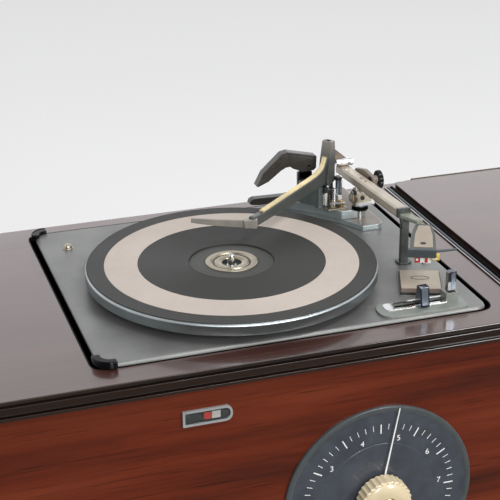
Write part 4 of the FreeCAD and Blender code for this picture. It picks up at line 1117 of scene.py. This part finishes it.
def selector():
    """The slotted tray with the start grip and the speed paddle."""
    outline = bent([(108.5, -138, 15), (198, -138, 5), (198, -107, 5), (108.5, -107, 15)],
                   5, 9)
    slot = rounded(*LEVER_SLOT, 0.6, 3)
    chrome = bent([(117, -124.5, 4), (181.5, -124.5), (181.5, -109.5), (117, -109.5, 6)],
                  1.0, 5)
    make("selector_plate", "cabinet",
         [(prism(outline, 3.9, 6.4, 1.0, holes=[slot[::-1]], segments=3), "tray_grey"),
          (prism(chrome, 6.2, 7.0, 0.2, holes=[slot[::-1]]), "chrome"),
          (prism(rounded((179.5, 193), (-124, -111), 1.2), 4, 15, 0.8,
                 holes=[rounded((183.4, 190.8), (-122.5, -112.5), 0.5)[::-1]]),
           "tray_grey"),
          (block((182.5, 191.5), (-123, -112), (6, 8), 0.1), "black_paint")],
         "selector_tray")
    grip = bent([(-7.0, 7.4), (7.5, 7.4), (6.6, 12), (4.4, 26.4), (3.8, 27.2), (-3.0, 27.2),
                 (-3.6, 26.4), (-6.0, 12)], 0.3, 2)
    make("start_grip", "start_lever",
         [(put(prism(grip, 0, 9.4, 0.9, segments=3), (150.1, -123.5, 0), SIDEWAYS),
           "lever_plastic"),
          # A bluish steel plate on the grip's sloping front face: a painted reflection.
          (put(block((1.4, 8.2), (-0.3, 0.5), (-9, 9), 0.3), (150.1, -128.6, 18),
               spin("X", -8.5)), "blue_steel"),
          (block((152.3, 157.3), (-119.8, -117), (-10, 8), 0.3), "bright_steel")],
         "start_lever")
    paddle = bent([(182.8, 16.2), (191.6, 16.2), (191.6, 35.6), (190.8, 36.6), (184.0, 35.8),
                   (183.0, 34.6)], 0.3, 2)
    make("speed_paddle", "speed_lever",
         [(put(prism(paddle, 0, 5.8, 1.0, segments=3), (0, -114.6, 0), UPRIGHT),
           "lever_plastic"),
          # A bluish steel strip on the right of the paddle's face: a painted highlight.
          (block((186.2, 190.6), (-120.6, -120.1), (18, 34.6), 0.2), "blue_steel"),
          (block((184.4, 189.8), (-119, -116), (8.6, 17), 0.3), "bright_steel"),
          (put(rod(1.2, 11, 0.1, 16), (181.6, -117.5, 9.6), LAY["x"]), "bright_steel")],
         "speed_lever")


# ---------------------------------------------------------------- front and case

FACE_Y = -157.5
CONTROL_ROW_Z = -176


def on_face(across):
    """Where a control stands on the front, its axis towards the room."""
    return Matrix.Translation((across, FACE_Y, CONTROL_ROW_Z)) @ UPRIGHT


DIAL = on_face(99)


def numeral(text, height):
    """A plain numeral as a thin raised form, centred on the origin."""
    curve = bpy.data.curves.new("numeral", "FONT")
    curve.body = text
    curve.size = height
    curve.align_x = "CENTER"
    curve.align_y = "CENTER"
    curve.extrude = 0.12
    holder = bpy.data.objects.new("numeral", curve)
    mesh = bpy.data.meshes.new_from_object(holder)
    form = bmesh.new()
    form.from_mesh(mesh)
    bmesh.ops.remove_doubles(form, verts=form.verts[:], dist=0.001)
    bpy.data.objects.remove(holder)
    bpy.data.curves.remove(curve)
    bpy.data.meshes.remove(mesh)
    return form


def dial():
    """A round scale with a bevelled rim, tick marks and plain numbers."""
    rim = turned([(92.8, 0), (99, 0), (99, 3.0), (98.4, 3.7), (97.2, 4.0), (95.4, 4.0),
                  (94.2, 3.5), (93.2, 2.7), (92.8, 2.5)], 160, closed=True)
    face = turned([(7, 0), (93, 0), (93, 2.5), (60, 2.5), (59.6, 2.2), (58.6, 2.2),
                   (58.2, 2.5), (7, 2.5)], 160, closed=True)
    forms = [(rim, "slate"), (face, "dial_face")]
    ticks = 41
    for number in range(ticks):
        major = number % 5 == 0
        mark = block((-0.6, 0.6) if major else (-0.3, 0.3),
                     (70, 80) if major else (74, 80), (2.4, 2.75), 0.08, 1)
        forms.append((put(mark, turn=spin("Z", 120 - 240 * number / (ticks - 1))),
                      "white_paint"))
    for number in range(1, 9):
        heading = math.radians(90 + 120 - 240 * (number - 1) / 7)
        forms.append((put(numeral(str(number), 8.5), (64.5 * math.cos(heading),
                                                      64.5 * math.sin(heading), 2.5)),
                      "white_paint"))
    make("dial_scale", "cabinet", carried(forms, DIAL),
         "dial_plate")
    needle = put(prism([(-0.9, 8), (0.9, 8), (0.6, 97.6), (0, 98.8), (-0.6, 97.6)], 5, 6,
                       0.2), turn=spin("Z", -10.5))
    hub = turned([(3.1, 4.8), (10, 4.8), (10, 5.9), (9.4, 6.2), (3.1, 6.2)], 48, closed=True)
    make("dial_needle", "tuning",
         carried(alike("white_paint", (needle, hub)), DIAL),
         "dial_pointer")


def knobs():
    """Fluted knobs with turned brass centres."""
    grip = fluted(27, 1.6, 28, 6.6, 22.5, 1.2)
    crown = turned([(0, 26), (15, 26), (19, 25.4), (23.4, 23.4), (24.4, 22.2), (0, 22.2)],
                   64)
    centre = turned([(0, 26.4), (9, 26.4), (9.6, 26), (10.4, 26.2), (11, 25.6), (0, 25.6)],
                    48)
    shaft = put(rod(3, 80, 0.2), (0, 0, -72))
    make("tuning_grip", "tuning",
         carried([(grip, "knob_plastic"), (crown, "knob_plastic"), (centre, "brass"),
                  (shaft, "bright_steel")], DIAL),
         "tuning_knob")
    for name, across in (("volume", -185), ("band", -75)):
        skirt = turned(bent([(0, 1, 0), (17, 1), (17, 2.8), (14.4, 4.8), (0, 4.8, 0)], 0.6, 3,
                            closed=False), 64)
        forms = [(skirt, "knob_plastic"),
                 (fluted(13.6, 1.0, 20, 4.4, 17.6, 0.9), "knob_plastic"),
                 (turned([(0, 20), (7, 19.9), (10.6, 19.0), (12.2, 17.4), (0, 17.4)], 48),
                  "knob_plastic"),
                 (turned([(0, 20.2), (4, 20.2), (4.5, 19.8), (0, 19.8)], 32), "brass"),
                 (block((-0.5, 0.5), (14.6, 16.6), (2.4, 3.8), 0.1, 1), "black_paint"),
                 (put(rod(3, 42, 0.2), (0, 0, -39)), "bright_steel")]
        make(f"{name}_grip", name, carried(forms, on_face(across)),
             f"{name}_knob")


def indicator():
    """A clear bezel over a strip of three colours."""
    low, high = limits("indicator_window")
    depth = high.z - low.z

    def pane(inset):
        left, right = low.x + inset, high.x - inset
        bottom, top = low.z + inset, high.z - inset
        end = depth / 2 - inset
        return bent([(left, bottom, 1), (right, bottom, end * 0.98), (right, top, end * 0.98),
                     (left, top, 1)], 1, 10)

    def facing(form):
        return put(form, (0, FACE_Y, 0), UPRIGHT)

    strips = [("slate", -88.5, -78.5), ("red_lamp", -78.3, -70.5), ("white_paint", -70.3, -62),
              ("slate", -61.8, -55.0)]
    forms = [(facing(prism(pane(0), 0, 2.6, 0.7, holes=[pane(2.2)[::-1]], segments=3)),
              "clear_plastic"),
             (facing(prism(pane(1.8), 0.1, 0.5, 0.1)), "slate"),
             (facing(prism(pane(2.4), 1.3, 2.0, 0.2)), "indicator_glass")]
    for look, left, right in strips:
        forms.append((facing(prism(rectangle((left, right), (-57.6, -50.4)), 0.4, 0.8, 0.1)),
                      look))
    make("indicator_pane", "cabinet", forms, "indicator_window")


def grille():
    """The framed opening, and the cloth stretched over the loudspeakers."""
    low, high = limits("grille_frame")
    cloth_low, cloth_high = limits("grille_cloth")
    outer = rectangle((low.x, high.x), (low.z, high.z))
    opening = rectangle((cloth_low.x, cloth_high.x), (cloth_low.z, cloth_high.z))
    lip = rectangle((cloth_low.x - 9, cloth_high.x + 9), (cloth_low.z - 9, cloth_high.z + 9))
    frame_forms = [
        (put(prism(outer, -high.y, -low.y, 1.2, holes=[lip[::-1]], segments=3),
             turn=UPRIGHT), "mahogany"),
        (put(prism(lip, -high.y, -low.y - 3.5, 1.6, holes=[opening[::-1]], segments=4),
             turn=UPRIGHT), "dark_moulding")]
    make("grille_surround", "cabinet", frame_forms, "grille_frame")

    across, up = 297, 38
    form = bmesh.new()
    inset = 0.3
    rows = []
    for j in range(up + 1):
        z = cloth_low.z + inset + (cloth_high.z - cloth_low.z - 2 * inset) * j / up
        row = []
        for i in range(across + 1):
            x = cloth_low.x + inset + (cloth_high.x - cloth_low.x - 2 * inset) * i / across
            slack = 0.12 * math.sin(i * 0.31) * math.sin(math.pi * j / up)
            row.append(form.verts.new((x, cloth_low.y + 0.4 + slack, z)))
        rows.append(row)
    bridge(form, rows, closed=False)
    cloth_piece = make("speaker_cloth", "cabinet", [(form, "grille_cloth")],
                       "grille_cloth")


AXIS_REACH = 0.3


def turned_legs():
    """Four tapered legs, each with a ring near its top."""
    forms = []
    profile = smooth([(0.01, -200), (10.0, -200), (11.6, -198.6), (12.0, -195), (12.6, -180),
                      (15.2, -130), (18.6, -70), (21.0, -30), (21.6, -14)], 4)
    profile += smooth([(20.2, -12.4), (20.4, -11), (22.6, -9.4), (23.0, -6.5),
                       (22.4, -3.4), (21.2, -2.2), (21.2, 0), (0.01, 0)], 3)
    profile = [(point.x if point.x > AXIS_REACH else 0.0, point.y) for point in profile]
    for across in (-380, 800):
        for deep in (-111.5, 159):
            forms.append((put(turned(profile, 48), (across, deep, -560)), "leg_wood"))
    make("turned_legs", "cabinet", forms, "legs")


def back_fittings():
    """The screws of the back panel, and the mains inlet."""
    screws = []
    face = limits("back_panel")[1].y
    for across in (-400, -200, 0, 200, 420, 620, 820):
        for down in (-32, -532):
            head = turned([(0, 0), (4, 0), (4, 0.4), (3.4, 1.3), (2.2, 1.7), (0, 1.8)], 28)
            # A black bar across each head paints the shade of its slot.
            bar = block((-3.2, 3.2), (-0.45, 0.45), (1.3, 2.05), 0.12, 1)
            turn = LAY["y"] @ spin("Z", (across * 7 + down) % 180)
            screws.append((put(head, (across, face, down), LAY["y"]), "bright_steel"))
            screws.append((put(bar, (across, face, down), turn), "black_paint"))
    make("back_screw_heads", "cabinet", screws, "back_panel_screws")

    shell = rectangle((-15.7, 15.7), (-499.7, -472.3))
    socket = rectangle((-11, 11), (-495, -477))
    flip = Matrix.Translation((0, 189, 0)) @ UPRIGHT @ Matrix.Diagonal((1, 1, -1, 1))
    forms = alike("bakelite", [
        outward(put(prism(bent(shell, 2.5), 0, 17.5, 0.8, holes=[socket[::-1]]), turn=flip)),
        outward(put(prism(bent(shell, 2.5), 0, 2.5, 0.4), turn=flip))])
    for across in (-5, 5):
        forms.append((put(rod(2.0, 13, 0.6, 24), (across, 191, -486), LAY["y"]), "brass"))
    make("inlet_socket", "cabinet", forms, "mains_inlet")


# ---------------------------------------------------------------- inside

CHASSIS_TOP = -242


def suspension():
    """The four springs that the deck floats on."""
    forms = []
    low, high = limits("suspension_springs")
    for x in (low.x + 8, high.x - 8):
        for y in (low.y + 8, high.y - 8):
            forms.append((put(coil(7.0, 0.9, high.z - low.z, 6), (x, y, low.z)),
                          "bright_steel"))
    make("coil_springs", "cabinet", forms, "suspension_springs")


def valves():
    """Five glass valves on their bases."""
    forms = []
    for number in range(5):
        at = (-190 + 52 * number, 20, CHASSIS_TOP)
        base = turned([(0, 0), (11, 0), (11, 7.4), (10.4, 8), (0, 8)], 40)
        bulb = turned([(9.8, 7.8), (10.6, 11), (10.6, 46), (9.6, 51), (6.4, 55.4), (2.6, 57.8),
                       (1.4, 60), (0, 62)], 40)
        plates = turned([(0, 12), (5.4, 12), (5.4, 38), (0, 38)], 8)
        getter = turned([(0, 44), (3.4, 44), (3.8, 44.8), (0, 45.4)], 24)
        for form, look in ((base, "bakelite"), (bulb, "valve_glass"), (plates, "slate"),
                           (getter, "chrome")):
            forms.append((put(form, at), look))
    make("valve_tubes", "cabinet", forms, "radio_valves")


def transformer():
    """A laminated core with its winding."""
    forms = [(block((150, 230), (-40 + 3.5 * k, -37 + 3.5 * k), (CHASSIS_TOP, -188), 0.3),
              "speaker_metal") for k in range(20)]
    forms.append((block((168, 212), (-52, 42), (-234, -196), 6.0, 4), "bakelite_grey"))
    forms += [(put(slotted_screw(3, 2), (x, y, -188)), "brass")
              for x in (156, 224) for y in (-34, 24)]
    make("mains_transformer", "cabinet", forms, "power_transformer")


# ---------------------------------------------------------------- camera and stage

CAMERA_AT = (-0.59935, -1.26645, 1.35739)
CAMERA_HEADING = -18.18
CAMERA_DOWN = 23.156
CAMERA_ROLL = -0.477
CAMERA_LENS = 101.9


def camera():
    """The view of the photo."""
    data = bpy.data.cameras.new("camera")
    data.lens = CAMERA_LENS
    data.sensor_width = 36
    data.shift_x = -0.0039
    data.clip_end = 200
    made = stand("camera", data)
    made.matrix_world = (Matrix.Translation(CAMERA_AT)
                         @ Matrix.Rotation(math.radians(CAMERA_HEADING), 4, "Z")
                         @ Matrix.Rotation(math.radians(90 - CAMERA_DOWN), 4, "X")
                         @ Matrix.Rotation(math.radians(CAMERA_ROLL), 4, "Z"))
    bpy.context.scene.camera = made


def softbox(name, at, aim, size, power):
    """A rectangular lamp aimed at a point."""
    data = bpy.data.lights.new(name, "AREA")
    data.shape = "RECTANGLE"
    data.size, data.size_y = size
    data.energy = power
    made = stand(name, data)
    made.location = at
    made.rotation_euler = (Vector(aim) - Vector(at)).to_track_quat("-Z", "Y").to_euler()


def stage():
    """A pale floor whose colour darkens towards the front as painted shade, a sky that darkens
    towards the front, and the lamps.
    """
    reach = 60.0
    mesh = bpy.data.meshes.new("floor")
    mesh.from_pydata([(-reach, -reach, 0), (reach, -reach, 0), (reach, reach, 0),
                      (-reach, reach, 0)], [], [(0, 1, 2, 3)])
    floor = stand("floor", mesh)
    paper = Finish("studio_floor", (0.9, 0.9, 0.9), 0.8, Specular_IOR_Level=0.2)
    reach_forward = paper.node("ShaderNodeSeparateXYZ", {"Vector": paper.place()})
    # The floor's colour darkens towards the front: painted shade.
    front_shade = paper.span(reach_forward.outputs["Y"], 0.0, 1.0, start=-0.75, end=-0.05)
    paper.link(paper.ramp(front_shade, [(0.0, (0.07, 0.065, 0.06)), (1.0, (0.97, 0.97, 0.96))]),
               "Base Color")
    floor.data.materials.append(paper.material)

    world = bpy.data.worlds.new("studio")
    bpy.context.scene.world = world
    world.use_nodes = True
    tree = world.node_tree
    backdrop = tree.nodes["Background"]
    backdrop.inputs["Color"].default_value = (0.93, 0.93, 0.95, 1)
    heading = add_node(tree, "ShaderNodeSeparateXYZ", {
        "Vector": add_node(tree, "ShaderNodeTexCoord").outputs["Generated"]})
    forward, upward = (
        add_node(tree, "ShaderNodeMapRange", {
            "Value": heading.outputs[axis], "From Min": start, "From Max": end,
            "To Min": low, "To Max": high}, interpolation_type="SMOOTHSTEP").outputs["Result"]
        for axis, start, end, low, high in (("Y", -0.55, 0.25, 0.25, 1.0),
                                            ("Z", 0.30, 0.50, 1.5, 1.0)))
    product = add_node(tree, "ShaderNodeMath", {0: forward, 1: upward}, operation="MULTIPLY")
    tree.links.new(product.outputs[0], backdrop.inputs["Strength"])
    softbox("window", (-0.64, -3.4, 2.4), (-0.1, 0, 0.75), (0.55, 1.7), 62)
    softbox("side_window", (1.57, -3.15, 2.2), (-0.1, 0, 0.75), (0.6, 1.6), 66)
    softbox("ceiling_light", (0.5, -0.95, 2.6), (0, -0.2, 0.75), (1.4, 0.5), 24)
    bpy.context.scene.view_settings.view_transform = "Standard"


stage()
camera()
dress_cad_nodes()
for build in (cabinet_top, moulding, record_lid, deck_plate, deck_seal, corner_clips,
              turntable, deck_fixings, tonearm_base, overarm, clamp_and_feeler, tonearm,
              pickup_head, arm_rest, control_panel, selector, dial, knobs, indicator, grille,
              turned_legs, back_fittings, suspension, valves, transformer):
    build()
